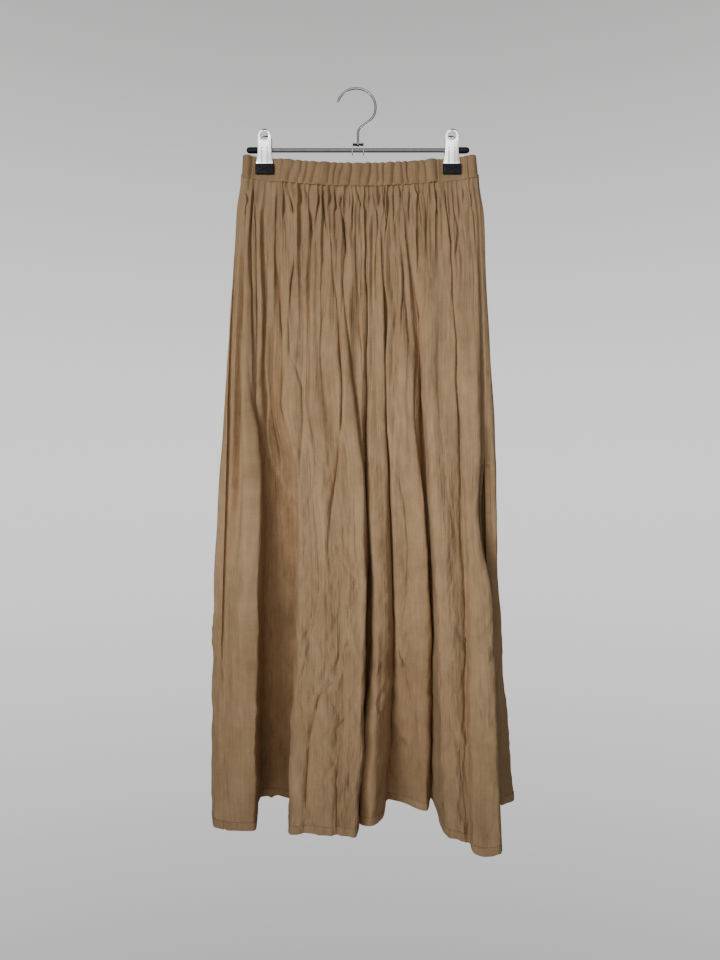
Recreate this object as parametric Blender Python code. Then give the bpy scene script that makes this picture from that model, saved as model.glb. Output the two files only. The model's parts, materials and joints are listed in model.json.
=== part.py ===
"""Gathered full skirt hung by its waist from a clip hanger.

Lengths in the tables are millimetres, in the object's frame: the origin is the inside top of the
hanger's hook, X runs to the wearer's left (right in a front view), Y to the back and Z up.
"""

import math

import bmesh
import bpy
from mathutils import Vector

for old in list(bpy.data.objects):
    bpy.data.objects.remove(old, do_unlink=True)


# Materials and closed bodies

def material(name, colour, roughness, metallic=0.0):
    mat = bpy.data.materials.new(name)
    mat.use_nodes = True
    shader = mat.node_tree.nodes["Principled BSDF"]
    shader.inputs["Base Color"].default_value = (*colour, 1.0)
    shader.inputs["Roughness"].default_value = roughness
    shader.inputs["Metallic"].default_value = metallic
    return mat


LINEN = material("linen", (0.31, 0.215, 0.130), 0.85)
STEEL = material("steel", (0.62, 0.62, 0.62), 0.25, 1.0)
RUBBER = material("rubber", (0.012, 0.012, 0.013), 0.55)


def solid(name, verts, faces, mat):
    """A closed body from points in millimetres, its faces turned outward."""
    mesh = bpy.data.meshes.new(name)
    mesh.from_pydata([(x / 1000, y / 1000, z / 1000) for x, y, z in verts], [], faces)
    body = bmesh.new()
    body.from_mesh(mesh)
    bmesh.ops.recalc_face_normals(body, faces=body.faces[:])
    if body.calc_volume(signed=True) < 0:
        bmesh.ops.reverse_faces(body, faces=body.faces[:])
    body.to_mesh(mesh)
    body.free()
    mesh.materials.append(mat)
    ob = bpy.data.objects.new(name, mesh)
    bpy.context.scene.collection.objects.link(ob)
    return ob


def combine(ob, other, how):
    """Joins another body to ob, or cuts it out of ob, and removes the other one."""
    step = ob.modifiers.new(how, "BOOLEAN")
    step.operation = how
    step.solver = "EXACT"
    step.object = other
    graph = bpy.context.evaluated_depsgraph_get()
    mesh = bpy.data.meshes.new_from_object(ob.evaluated_get(graph))
    ob.modifiers.clear()
    ob.data = mesh
    bpy.data.objects.remove(other, do_unlink=True)


def block(name, x0, x1, y0, y1, z0, z1, mat):
    verts = [(x, y, z) for x in (x0, x1) for y in (y0, y1) for z in (z0, z1)]
    faces = [(0, 1, 3, 2), (4, 6, 7, 5), (0, 4, 5, 1), (2, 3, 7, 6), (0, 2, 6, 4), (1, 5, 7, 3)]
    return solid(name, verts, faces, mat)


def turned(name, centre, profile, mat, axis="X", steps=20):
    """A body turned about the X or Y axis from a closed profile of (along, radius) points."""
    verts = []
    for i in range(steps):
        a = 2 * math.pi * (i + 0.5) / steps
        for along, radius in profile:
            u = radius * math.cos(a)
            v = radius * math.sin(a)
            place = (along, u, v) if axis == "X" else (u, along, v)
            verts.append(tuple(c + p for c, p in zip(centre, place)))
    n = len(profile)
    faces = []
    for i in range(steps):
        for j in range(n):
            k = (j + 1) % n
            m = (i + 1) % steps
            faces.append((i * n + j, i * n + k, m * n + k, m * n + j))
    ob = solid(name, verts, faces, mat)
    weld(ob)
    return ob


def weld(ob):
    """Closes the points of a turned body that lie on its axis."""
    body = bmesh.new()
    body.from_mesh(ob.data)
    bmesh.ops.remove_doubles(body, verts=body.verts[:], dist=0.00001)
    bmesh.ops.dissolve_degenerate(body, edges=body.edges[:], dist=0.00001)
    bmesh.ops.recalc_face_normals(body, faces=body.faces[:])
    body.to_mesh(ob.data)
    body.free()


# Cloth sections

# Shares of the panel's length at which a fold row gives its place: waist seam, thigh, knee, hem
LEVELS = (0.0, 0.35, 0.675, 1.0)
SLIT_TOP = 0.457

# A row per fold crest or valley, from the left side seam to the right one: where it stands across
# (x) and out of the hanger's plane (y, negative to the front), and how far its hem hangs low
FRONT_FOLDS = (
    # name, x waist, x thigh, x knee, x hem, y waist, y thigh, y knee, y hem, low
    ("left_fold", -166, -187, -187, -177, -6, -21, -50, -92, 0),
    ("left_fold_right", -158, -170, -165, -154, -6, -27, -58, -91, 0),
    ("left_fold_edge", -150, -160, -148, -145, -6, -17, -44, -70, 0),
    ("recess_left", -136, -156, -150, -154, -6, -2, 2, 5, -7),
    ("recess", -125, -140, -126, -136, -6, -1, 1, 5, -6),
    ("recess_right", -113, -123, -104, -116, -6, -4, -5, 3, 0),
    ("big_fold_edge", -89, -115, -91, -98, -6, -21, -50, -90, 0),
    ("big_fold_crest", -78, -99, -78, -84, -6, -33, -66, -104, 0),
    ("big_fold_dip", -65, -81, -65, -68, -6, -26, -59, -98, 0),
    ("big_fold_middle", -49, -54, -47, -50, -6, -34, -67, -108, 0),
    ("big_fold_dip_2", -34, -27, -29, -34, -6, -27, -58, -101, 0),
    ("big_fold_crest_2", -20, -9, -11, -20, -6, -31, -60, -108, 0),
    ("big_fold_right", -5, 6, 5, -8, -6, -18, -40, -84, 0),
    ("middle_valley", 13, 15, 13, 0, -6, -1, -3, -38, 0),
    ("middle_fold", 25, 26, 29, 19, -6, -19, -38, -58, 0),
    ("middle_fold_right", 36, 37, 44, 33, -6, -10, -24, -36, 0),
    ("shadow_valley", 52, 48, 55, 44, -6, 0, 2, 4, 0),
    ("flat_fold", 70, 65, 72, 76, -6, -14, -24, -25, 0),
    ("flat_fold_right", 84, 87, 96, 101, -6, -10, -17, -21, 0),
    ("deep_valley", 97, 97, 110, 115, -6, 0, 4, 5, -6),
    ("right_fold_wall", 106, 105, 120, 127, -6, -6, -14, -10, -3),
    ("right_fold", 135, 125, 131, 129, -6, -27, -62, -108, 0),
    ("right_fold_dip", 155, 150, 153, 158, -6, -21, -54, -126, 3),
    ("right_fold_crest", 171, 171, 170, 180, -6, -29, -68, -127, 18),
)
BACK_FOLDS = (
    ("left_front", -182.5, -208, -220, -211, -1, -4, -16, -70, 0),
    ("left_side", -180, -208, -224, -226, 4, 6, 3, -6, 0),
    ("fold_1", -164, -194, -206, -206, 6, 20, 27, 31, 0),
    ("valley_1", -148, -177, -186, -186, 6, 10, 12, 14, 0),
    ("fold_2", -128, -159, -162, -160, 6, 22, 31, 38, 4),
    ("valley_2", -109, -137, -140, -136, 6, 10, 12, 14, 0),
    ("fold_3", -91, -117, -116, -114, 6, 17, 25, 32, 0),
    ("valley_3", -75, -97, -96, -94, 6, 10, 12, 14, 0),
    ("fold_4", -53, -76, -71, -66, 6, 22, 33, 40, 3),
    ("valley_4", -36, -55, -50, -43, 6, 10, 12, 15, 0),
    ("fold_5", -20, -37, -31, -22, 6, 18, 27, 34, 0),
    ("valley_5", -4, -17, -11, 0, 6, 10, 12, 14, 0),
    ("fold_6", 13, 2, 9, 22, 6, 21, 32, 39, 2),
    ("valley_6", 31, 22, 30, 44, 6, 10, 12, 14, 0),
    ("fold_7", 47, 42, 51, 67, 6, 17, 25, 33, 0),
    ("valley_7", 63, 61, 71, 88, 6, 10, 12, 14, 0),
    ("fold_8", 81, 83, 94, 112, 6, 21, 31, 38, 3),
    ("valley_8", 98, 103, 115, 134, 6, 10, 12, 14, 0),
    ("fold_9", 114, 123, 136, 158, 6, 17, 26, 34, 0),
    ("valley_9", 130, 144, 157, 180, 6, 10, 12, 15, 0),
    ("fold_10", 148, 165, 179, 203, 6, 20, 29, 36, 0),
    ("valley_10", 163, 184, 199, 222, 6, 10, 13, 17, 0),
    ("right_back", 178, 201, 214, 238, 6, 14, 17, 24, -3),
    ("right_side", 189, 208, 221, 243, 0.5, 3, 5, 12, -3),
)
# The side seams and, below the slit's top, the two free edges: x and y at the four levels
EDGES = {
    "left": (-176, -199, -208, -195, -4.5, -8, -20, -88, 0),
    "right": (183, 195, 193, 199, -4.5, -8, -8, -8, 0),
    "slit_front": (183, 195, 193, 200, -4.5, -8, -44, -120, 17),
    "slit_back": (183, 195, 193, 219, -4.5, -8, -2, -11, -3),
}
CLIPS = (-144.8, 145.4)


def smooth(a, b, value):
    share = min(1.0, max(0.0, (value - a) / (b - a)))
    return share * share * (3 - 2 * share)


def pinch(x):
    """1 where a clip presses the waist flat, 0 away from it."""
    return max(1 - smooth(15, 27, abs(x - clip)) for clip in CLIPS)


def at_level(values, t):
    """A smooth curve through a row's four values that never swings past them."""
    spans = [b - a for a, b in zip(LEVELS, LEVELS[1:])]
    rises = [(b - a) / span for a, b, span in zip(values, values[1:], spans)]
    slopes = [rises[0]]
    for a, b in zip(rises, rises[1:]):
        slopes.append(2 * a * b / (a + b) if a * b > 0 else 0.0)
    slopes.append(rises[-1])
    i = sum(t > level for level in LEVELS[1:-1])
    u = (t - LEVELS[i]) / spans[i]
    return (values[i] * (2 * u**3 - 3 * u**2 + 1) + values[i + 1] * (3 * u**2 - 2 * u**3)
            + spans[i] * (slopes[i] * (u**3 - 2 * u**2 + u) + slopes[i + 1] * (u**3 - u**2)))


def row_point(row, t):
    x = at_level(row[0:4], t)
    y = at_level(row[4:8], t)
    y *= 1 - 0.55 * pinch(x) * (1 - smooth(0.0, 0.06, t))
    x += math.copysign(4.0, x) * smooth(60, 180, abs(x)) * math.exp(-t / 0.35) * smooth(0.0, 0.06, t)
    return Vector((x, y, row[8]))


def edge_line(side, panel, t):
    """A panel's side edge and the next point in from it: seam down to the slit, free below it."""
    across = Vector((-1.0 if side == "left" else 1.0, 0, 0))
    if panel == "front":
        across = -across
    seam = row_point(EDGES[side], t)
    if side == "right":
        free = row_point(EDGES["slit_" + panel], t)
        seam = seam.lerp(free, smooth(SLIT_TOP, SLIT_TOP + 0.22, t))
        bow = -9.0 if panel == "front" else 7.0
        seam.x += bow * smooth(SLIT_TOP, 0.54, t) * (1 - smooth(0.56, 0.68, t))
    low = seam.z
    edge = seam + across * 0.15
    inner = seam + across * 3.5
    edge.z = low
    inner.z = low
    return edge, inner, across


def section(rows, panel, t, steps=12):
    """The cloth's line at one level: for each stretch between two folds, closely spaced points."""
    left, left_in, left_way = edge_line("left", panel, t)
    right, right_in, right_way = edge_line("right", panel, t)
    line = [left, left_in] + [row_point(row[1:], t) for row in rows] + [right_in, right]
    stretches = []
    for i in range(len(line) - 1):
        before = line[max(0, i - 1)]
        after = line[min(len(line) - 1, i + 2)]
        a, b = line[i], line[i + 1]
        span = (b - a).xy.length
        lead = (b - before) * (span / max(0.1, span + (a - before).xy.length))
        trail = (after - a) * (span / max(0.1, span + (after - b).xy.length))
        points = []
        for k in range(steps + 1):
            u = k / steps
            points.append(a * (2 * u**3 - 3 * u**2 + 1) + lead * (u**3 - 2 * u**2 + u)
                          + b * (3 * u**2 - 2 * u**3) + trail * (u**3 - u**2))
        stretches.append(points)
    return stretches, left_way, -right_way


def cloth_shares(rows, panel):
    """Share of the cloth at each fold, from the lengths of its stretches at the waist and the hem."""
    shares = [0.0]
    lengths = []
    for t, weight in ((0.0, 0.75), (1.0, 0.25)):
        stretches = section(rows, panel, t)[0]
        spans = [sum((q - p).xy.length for p, q in zip(points, points[1:])) for points in stretches]
        lengths.append([weight * span / sum(spans) for span in spans])
    for waist, hem in zip(*lengths):
        shares.append(shares[-1] + waist + hem)
    return shares


def spread(stretches, shares, count):
    """Columns at even shares of the cloth, each with its place and direction."""
    columns = []
    i = 0
    for k in range(count + 1):
        share = k / count
        while i < len(stretches) - 1 and shares[i + 1] <= share:
            i += 1
        points = stretches[i]
        part = (share - shares[i]) / max(1e-6, shares[i + 1] - shares[i])
        part = min(1.0, max(0.0, part)) * (len(points) - 1)
        j = min(len(points) - 2, int(part))
        place = points[j].lerp(points[j + 1], part - j)
        way = (points[j + 1] - points[j]).xy
        columns.append((place, Vector((way.x, way.y, 0)).normalized()))
    return columns


def waist_top(x):
    share = min(1.0, abs(x - 3) / 186)
    return -103.5 - 14.0 * (1 - share * share) ** 1.2


def waist_seam(x):
    return waist_top(x) - 35.5


# Share of the length, half height of a gather, wall seen across
DEPTHS = (
    (0.0, 0.9, 1.7),
    (0.025, 2.3, 2.0),
    (0.07, 2.9, 2.0),
    (0.14, 3.0, 1.9),
    (0.22, 2.7, 1.7),
    (0.33, 2.1, 1.5),
    (SLIT_TOP, 1.5, 1.3),
    (0.53, 1.2, 1.3),
    (0.61, 1.0, 1.3),
    (0.72, 0.8, 1.3),
    (0.86, 0.6, 1.3),
    (1.0, 0.5, 1.4),
)
DENSE_ROWS = 4
GATHERS = 44
HEM = -1110.0


def gather(column, count, seed):
    """Height of the gathered cloth at a column: crest, side, valley, side, uneven from one to the next."""
    number = column // 4
    uneven = 0.85 + 0.3 * math.sin(number * 2.399 + seed) + 0.15 * math.sin(number * 5.3 + seed * 2)
    wave = (1.0, 0.15, -1.0, -0.15)[column % 4]
    near_edge = min(column, count - column)
    return wave * uneven * min(1.0, near_edge / 8)


def panel(name, rows, which, seed):
    """A closed wall between two skins: dense columns in the gathers, every second one below."""
    fine = GATHERS * 4
    shares = cloth_shares(rows, which)
    facing = -1 if which == "front" else 1
    skins = ([], [])
    tops = None
    for number, (t, height, wall) in enumerate(DEPTHS):
        stretches, left_way, right_way = section(rows, which, t)
        columns = spread(stretches, shares, fine)
        if tops is None:
            tops = [waist_seam(place.x) - 0.3 for place, way in columns]
        step = 1 if number < DENSE_ROWS else 2
        outer, inner = [], []
        for i in range(0, fine + 1, step):
            place, way = columns[i]
            if i == 0:
                way = left_way
            if i == fine:
                way = right_way
            out = Vector((-way.y, way.x, 0)) * facing
            before, after = columns[max(0, i - 4)][0], columns[min(fine, i + 4)][0]
            room = min(1.0, (after - before).xy.length / (min(fine, i + 4) - max(0, i - 4)) / 2.1)
            centre = place + out * (height * room**1.5 * gather(i, fine, seed))
            low = HEM - place.z
            z = tops[i] + (low - tops[i]) * t
            outer.append((*(centre + out * wall / 2).xy, z))
            inner.append((*(centre - out * wall / 2).xy, z))
        skins[0].append(outer)
        skins[1].append(inner)
    return stitched_wall(name, skins, LINEN)


def stitched_wall(name, skins, mat):
    """Two skins of rows, joined along their four borders into one closed body."""
    verts = []
    index = []
    for skin in skins:
        layer = []
        for row in skin:
            layer.append(list(range(len(verts), len(verts) + len(row))))
            verts.extend(row)
        index.append(layer)
    faces = []
    for side, layer in enumerate(index):
        for upper, lower in zip(layer, layer[1:]):
            if len(upper) == len(lower):
                for i in range(len(upper) - 1):
                    quad(faces, upper[i], upper[i + 1], lower[i + 1], lower[i], side)
            else:
                for i in range(len(lower) - 1):
                    a, b, c = upper[2 * i], upper[2 * i + 1], upper[2 * i + 2]
                    turn(faces, (a, b, lower[i]), side)
                    turn(faces, (b, lower[i + 1], lower[i]), side)
                    turn(faces, (b, c, lower[i + 1]), side)
    outer, inner = index
    for row_out, row_in, side in ((outer[0], inner[0], 1), (outer[-1], inner[-1], 0)):
        for i in range(len(row_out) - 1):
            quad(faces, row_out[i], row_out[i + 1], row_in[i + 1], row_in[i], side)
    for end, side in ((0, 0), (-1, 1)):
        for k in range(len(outer) - 1):
            quad(faces, outer[k][end], outer[k + 1][end], inner[k + 1][end], inner[k][end], side)
    return solid(name, verts, faces, mat)


def quad(faces, a, b, c, d, side):
    turn(faces, (a, b, d), side)
    turn(faces, (b, c, d), side)


def turn(faces, face, side):
    faces.append(face if side == 0 else face[::-1])


panel("front_panel", FRONT_FOLDS, "front", 0.4)
panel("back_panel", BACK_FOLDS, "back", 2.1)


# Waistband: an elasticated casing in two halves

PUFFS = 28
BAND_ROWS = (0.0, 0.5, 1.0)
# x, how far the top of a gather leans to the right of its foot
LEAN = ((-190, 3.0), (-120, 9.0), (-60, 9.0), (0, 6.0), (60, 2.0), (120, -1.0), (190, -2.0))


def lean(x):
    for (x0, a), (x1, b) in zip(LEAN, LEAN[1:]):
        if x <= x1:
            return a + (b - a) * (x - x0) / (x1 - x0)
    return 0.0


def band(name, which, seed):
    """Half of the casing: a puffed wall between the two side folds, pressed flat under the clips."""
    way = -1 if which == "front" else 1
    count = PUFFS * 4
    skins = ([], [])
    for v in BAND_ROWS:
        outer, inner = [], []
        for i in range(count + 1):
            u = i / count
            ends = math.sin(math.pi * u)
            x0 = -181.2 + 1.6 * v
            x1 = 187.6 - 3.6 * v
            x = x0 + (x1 - x0) * u + (v - 0.5) * lean(-181 + 368 * u) * min(1.0, ends * 2.2)
            gap = 1.7 + 2.6 * (1 - pinch(x))
            number = i // 4
            uneven = 0.8 + 0.35 * math.sin(number * 2.1 + seed)
            puff = (0.0, 0.7, 1.0, 0.6)[i % 4] * uneven * (1 - pinch(x)) * min(1.0, ends * 8)
            puff *= 1.1 * (1 - 0.75 * (2 * v - 1) ** 8)
            end = min(x - x0, x1 - x)
            # rounded side fold: the wall turns through a quarter circle to the side seam
            reach = gap + 2.4
            round_out = math.sqrt(max(0.0, 1 - (1 - min(1.0, end / reach)) ** 2))
            round_in = math.sqrt(max(0.0, 1 - (1 - min(1.0, max(0.0, end - 2.4) / gap)) ** 2))
            z = waist_seam(x) + (waist_top(x) - waist_seam(x)) * v
            if i in (0, count):
                outer.append((x, way * 0.15, z))
                inner.append((x + (2.4 if i == 0 else -2.4), way * 0.15, z))
                continue
            outer.append((x, way * (0.15 + (reach - 0.15) * round_out + puff), z))
            inner_x = max(x, x0 + 2.5) if i < count / 2 else min(x, x1 - 2.5)
            inner.append((inner_x, way * (0.15 + (gap - 0.15) * round_in), z))
        skins[0].append(outer)
        skins[1].append(inner)
    return stitched_wall(name, skins, LINEN)


band("waistband_front", "front", 0.9)
band("waistband_back", "back", 2.7)


# Hanger

BAR_Z = -95.0
BAR_R = 3.15


def wire(name, path, mat, sides=10):
    """A round wire in the XZ plane along (x, z, radius) points, with flat ends."""
    verts, faces = [], []
    for k, (x, z, radius) in enumerate(path):
        x0, z0, _ = path[max(0, k - 1)]
        x1, z1, _ = path[min(len(path) - 1, k + 1)]
        way = Vector((x1 - x0, z1 - z0)).normalized()
        for s in range(sides):
            a = 2 * math.pi * s / sides
            off = radius * math.cos(a)
            verts.append((x - way.y * off, radius * math.sin(a), z + way.x * off))
    for k in range(len(path) - 1):
        for s in range(sides):
            m = (s + 1) % sides
            faces.append((k * sides + s, k * sides + m, (k + 1) * sides + m, (k + 1) * sides + s))
    faces.append(tuple(range(sides)))
    last = (len(path) - 1) * sides
    faces.append(tuple(range(last + sides - 1, last - 1, -1)))
    return solid(name, verts, faces, mat)


def hook_path():
    """Open hook, its slanted return to the middle, the straight shank and its riveted foot."""
    path = []
    centre = (-2.6, -28.2)
    radius = 29.95
    for k in range(21):
        a = math.radians(161 - k * 9.3)
        path.append((centre[0] + radius * math.cos(a), centre[1] + radius * math.sin(a), 1.75))
    for x, z in ((20.0, -46.5), (12.5, -52.8), (6.0, -57.4), (1.9, -61.6), (0.2, -66.5), (0.0, -72.0), (0.0, -82.0)):
        path.append((x, z, 1.75))
    path += [(0.0, -86.5, 1.75), (0.0, -86.6, 3.0), (0.0, -87.6, 3.0), (0.0, -88.3, 1.8)]
    return path


wire("hanger_hook", hook_path(), STEEL)

turned("hanger_bar", (0, 0, BAR_Z), ((-166.0, 0.0), (-166.0, BAR_R), (166.0, BAR_R), (166.0, 0.0)), STEEL)

for side, name in ((-1, "end_cap_left"), (1, "end_cap_right")):
    profile = ((156.2, 3.4), (156.2, 4.3), (156.8, 4.75), (168.0, 4.75), (171.4, 4.1), (173.0, 2.6), (173.6, 0.0),
               (166.4, 0.0), (166.4, 3.4))
    turned(name, (0, 0, BAR_Z), [(side * a, r) for a, r in profile], RUBBER)


def stirrup():
    """Bent strip over the bar: the shank hangs in its top, the bar runs through its two legs."""
    ob = block("hook_stirrup", -9.3, 9.3, -4.5, 4.5, -101.0, -85.0, STEEL)
    combine(ob, block("hollow", -8.1, 8.1, -6.0, 6.0, -103.0, -86.2, STEEL), "DIFFERENCE")
    bore = ((-12.0, 0.0), (-12.0, BAR_R + 0.25), (12.0, BAR_R + 0.25), (12.0, 0.0))
    combine(ob, turned("bore", (0, 0, BAR_Z), bore, STEEL), "DIFFERENCE")
    hole = wire("hole", ((0.0, -90.0, 2.05), (0.0, -80.0, 2.05)), STEEL, 16)
    combine(ob, hole, "DIFFERENCE")
    return ob


stirrup()

# A row per level of a clip plate, from the tongue in its pad to the rounded thumb end
PLATE_ROWS = (
    # height, half width, distance of the plate's middle from the bar's plane
    (-129.0, 10.8, 6.0),
    (-118.4, 10.8, 6.0),
    (-118.2, 13.0, 6.0),
    (-112.0, 11.9, 6.1),
    (-104.0, 10.7, 6.4),
    (-94.0, 10.1, 7.0),
    (-84.0, 9.9, 8.4),
    (-76.5, 9.8, 9.7),
    (-72.2, 8.8, 10.4),
    (-68.9, 6.3, 10.9),
    (-67.3, 3.3, 11.1),
    (-66.8, 1.0, 11.2),
)


def clip_plate(name, x, way, narrow):
    """Stamped plate with a thumb hole and two side ears that the bar runs through."""
    verts, faces = [], []
    for z, half, y in PLATE_ROWS:
        half = min(half, 10.1) if narrow and -110 < z < -80 else half
        for dx, dy in ((-half, -0.5), (half, -0.5), (half, 0.5), (-half, 0.5)):
            verts.append((x + dx, way * (y + dy), z))
    for k in range(len(PLATE_ROWS) - 1):
        for s in range(4):
            m = (s + 1) % 4
            faces.append((k * 4 + s, k * 4 + m, k * 4 + 4 + m, k * 4 + 4 + s))
    faces.append((0, 1, 2, 3))
    last = len(verts) - 4
    faces.append((last + 3, last + 2, last + 1, last))
    ob = solid(name, verts, faces, STEEL)
    near, far = (7.6, 8.5) if narrow else (8.9, 9.8)
    for side in (-1, 1):
        a, b = sorted((x + side * near, x + side * far))
        c, d = sorted((way * -4.6, way * 6.9))
        combine(ob, block("ear", a, b, c, d, -101.0, -88.5, STEEL), "UNION")
    bore = ((-14.0, 0.0), (-14.0, BAR_R + 0.25), (14.0, BAR_R + 0.25), (14.0, 0.0))
    combine(ob, turned("bore", (x, 0, BAR_Z), bore, STEEL), "DIFFERENCE")
    hole = ((way * 6.0, 0.0), (way * 6.0, 6.9), (way * 16.0, 6.9), (way * 16.0, 0.0))
    combine(ob, turned("hole", (x, 0, -76.2), hole, STEEL, "Y", 24), "DIFFERENCE")
    return ob


def clip_pad(name, x, way):
    """Moulded boot pushed over the end of a plate."""
    y0, y1 = sorted((way * 4.4, way * 8.6))
    ob = block(name, x - 14.2, x + 14.2, y0, y1, -134.8, -118.6, RUBBER)
    body = bmesh.new()
    body.from_mesh(ob.data)
    bmesh.ops.bevel(body, geom=body.edges[:], offset=0.0008, segments=1, affect="EDGES")
    body.to_mesh(ob.data)
    body.free()
    a, b = sorted((way * 5.3, way * 6.7))
    combine(ob, block("slot", x - 11.1, x + 11.1, a, b, -129.3, -117.0, RUBBER), "DIFFERENCE")
    return ob


for x, side in zip(CLIPS, ("left", "right")):
    clip_plate("clip_plate_front_" + side, x, -1, False)
    clip_plate("clip_plate_back_" + side, x, 1, True)
    clip_pad("clip_pad_front_" + side, x, -1)
    clip_pad("clip_pad_back_" + side, x, 1)
    spring = ((-7.2, 3.4), (-7.2, 5.2), (7.2, 5.2), (7.2, 3.4))
    turned("clip_spring_" + side, (x, 0, BAR_Z), spring, STEEL)
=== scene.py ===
"""Gathered full skirt of washed linen, held by its waist in the two grips of a metal hanger.

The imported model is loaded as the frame. Each piece of cloth is a thin sheet laid on the form of its
solid, with its folds, gathers and creases placed in code. Tables are in millimetres.
"""

import json
import math

import bmesh
import bpy
import numpy as np
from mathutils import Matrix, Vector

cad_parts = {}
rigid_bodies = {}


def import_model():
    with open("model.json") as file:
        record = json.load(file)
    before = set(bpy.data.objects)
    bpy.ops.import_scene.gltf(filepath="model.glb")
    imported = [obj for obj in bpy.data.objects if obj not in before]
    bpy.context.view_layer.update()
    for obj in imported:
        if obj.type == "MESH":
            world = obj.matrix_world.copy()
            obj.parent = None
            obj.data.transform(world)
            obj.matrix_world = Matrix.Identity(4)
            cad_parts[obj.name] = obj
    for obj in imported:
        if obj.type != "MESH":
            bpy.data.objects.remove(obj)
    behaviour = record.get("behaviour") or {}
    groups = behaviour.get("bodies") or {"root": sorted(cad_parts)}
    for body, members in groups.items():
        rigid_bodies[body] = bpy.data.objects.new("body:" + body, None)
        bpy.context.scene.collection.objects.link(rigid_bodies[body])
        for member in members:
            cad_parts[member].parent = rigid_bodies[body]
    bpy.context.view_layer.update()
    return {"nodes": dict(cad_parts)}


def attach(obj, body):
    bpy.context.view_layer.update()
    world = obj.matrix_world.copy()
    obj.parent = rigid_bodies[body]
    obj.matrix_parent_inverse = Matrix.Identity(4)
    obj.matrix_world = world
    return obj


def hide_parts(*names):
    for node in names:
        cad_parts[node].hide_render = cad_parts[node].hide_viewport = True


for old in list(bpy.data.objects):
    bpy.data.objects.remove(old, do_unlink=True)

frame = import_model()


# Front panel of the skirt: one width of washed, crinkled linen, gathered at the waist and falling
# in deep soft folds. It is joined to the back panel at the left side all the way down, and at the
# right side as far as the slit. Its top edge is sewn into the waistband.

# Shares of the panel's length at which a row gives its place: waist, thigh, above the knee, knee, hem
LEVELS = np.array((0.0, 0.35, 0.46, 0.675, 1.0))
SLIT_TOP = 0.457
HEM_HEIGHT = -1110.0
FRONT_WIDTH = 840
CLIP_PLACES = (-144.8, 145.4)
# The waist's upper edge: its height at the sides, how far it sags between the grips, where it is
# lowest, and how far the sides are from there
WAIST_TOP = -103.5
WAIST_SAG = 14.0
WAIST_MIDDLE = 3
HALF_WAIST = 186
BAND_DEPTH = 35.5

FRONT_FOLDS = (
    # name, x at the five levels, y at the five levels, how far the hem hangs low
    ("side_strip", -174, -190, -192, -197, -186, -6, -11, -12, -23, -92, 0),
    ("left_pleat_edge", -170, -180, -181, -188, -176, -6, 0, -4, -36, -93, 0),
    ("left_fold", -166, -175, -172, -170, -162, -6, -27, -35, -58, -93, 0),
    ("left_fold_right", -164, -160, -146.5, -149, -149, -6, -25, -37, -60, -92, 0),
    ("left_fold_edge", -160, -155.5, -140.5, -145, -146, -6, -19, -29, -55, -84, 0),
    ("recess_left", -156, -153, -141, -146, -151, -6, -15, -14, -9, 4, -7),
    ("recess", -140, -141, -131, -132, -136, -5, -7, -7, -4, 6, -6),
    ("recess_middle", -130, -130, -118, -113, -120, -5, 1, 1, 2, 6, -5),
    ("recess_right", -121, -119, -98, -91.5, -102.5, -6, 8, 9, 9, 5, 0),
    ("big_fold_edge", -117, -117, -98.5, -92.5, -102.5, -6, -16, -26, -44, -74, 0),
    ("big_fold_crest", -107, -107, -92, -86, -95, -6, -30, -41, -63, -102, 0),
    ("big_fold_dip", -88, -84, -73, -68, -74, -6, -29, -38, -62, -101, 0),
    ("big_fold_middle", -60, -62, -53, -39, -38, -6, -33, -43, -64, -105, 0),
    ("big_fold_dip_2", -42, -36, -32, -23, -25, -6, -28, -37, -61, -103, 0),
    ("big_fold_crest_2", -22, -22, -13, -7, -15, -6, -32, -41, -61, -104, 0),
    ("big_fold_right", -3, -1, 5, 7.5, -6, -6, -19, -34, -57, -102, 0),
    ("big_fold_turn", 4, 7, 10.5, 12, -2, -6, -21, -24, -27, -66, 0),
    ("middle_valley", 11, 13.5, 14, 20, -1, -6, -4, -2, -4, -46, 0),
    ("middle_fold_left", 16, 17, 18, 24.5, 5, -6, -18, -25, -36, -66, 0),
    ("middle_fold", 26, 28, 30, 33, 19, -6, -22, -28, -42, -78, 0),
    ("middle_fold_right", 37, 40, 43, 45, 34, -6, -19, -24, -29, -50, 0),
    ("line_valley", 41, 43, 47, 56, 42, -6, -8, -8, -4, 2, 0),
    ("flat_fold_left", 46, 46.5, 50.5, 60.5, 52, -6, -19, -23, -20, 9, 0),
    ("flat_fold", 60, 66, 71, 80, 76, -6, -22, -24, -24, -6, 0),
    ("flat_fold_right", 68, 86, 94, 104, 103, -6, -18, -20, -26, -26, 0),
    ("deep_valley", 86, 98.5, 102.5, 110.5, 111, -6, 3, 4, 6, 7, -6),
    ("right_fold_wall", 95, 101.5, 105.5, 113, 117, -6, -12, -14, -20, -22, -4),
    ("right_fold_left", 102, 105, 108.5, 116, 122, -6, -26, -34, -54, -94, -1),
    ("right_fold", 122, 122, 128, 133, 136, -6, -28, -40, -64, -112, 2),
    ("right_fold_dip", 140, 146, 148, 151, 151, -6, -25, -35, -58, -114, 7),
    ("right_line", 150, 153, 156, 158, 157, -6, -19, -29, -53, -110, 10),
    ("right_fold_crest", 158, 160, 163, 166, 163, -6, -27, -38, -64, -125, 17.5),
    ("right_fold_flat", 168, 176, 177, 187, 185, -6, -29, -40, -70, -129, 18.5),
    ("right_fold_edge", 175, 184, 184.5, 197, 195.5, -6, -24, -35, -66, -128, 17),
    ("side_valley", 179, 188, 188, 198.5, 198, -6, -16, -20, -57, -125, 18),
)
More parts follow.
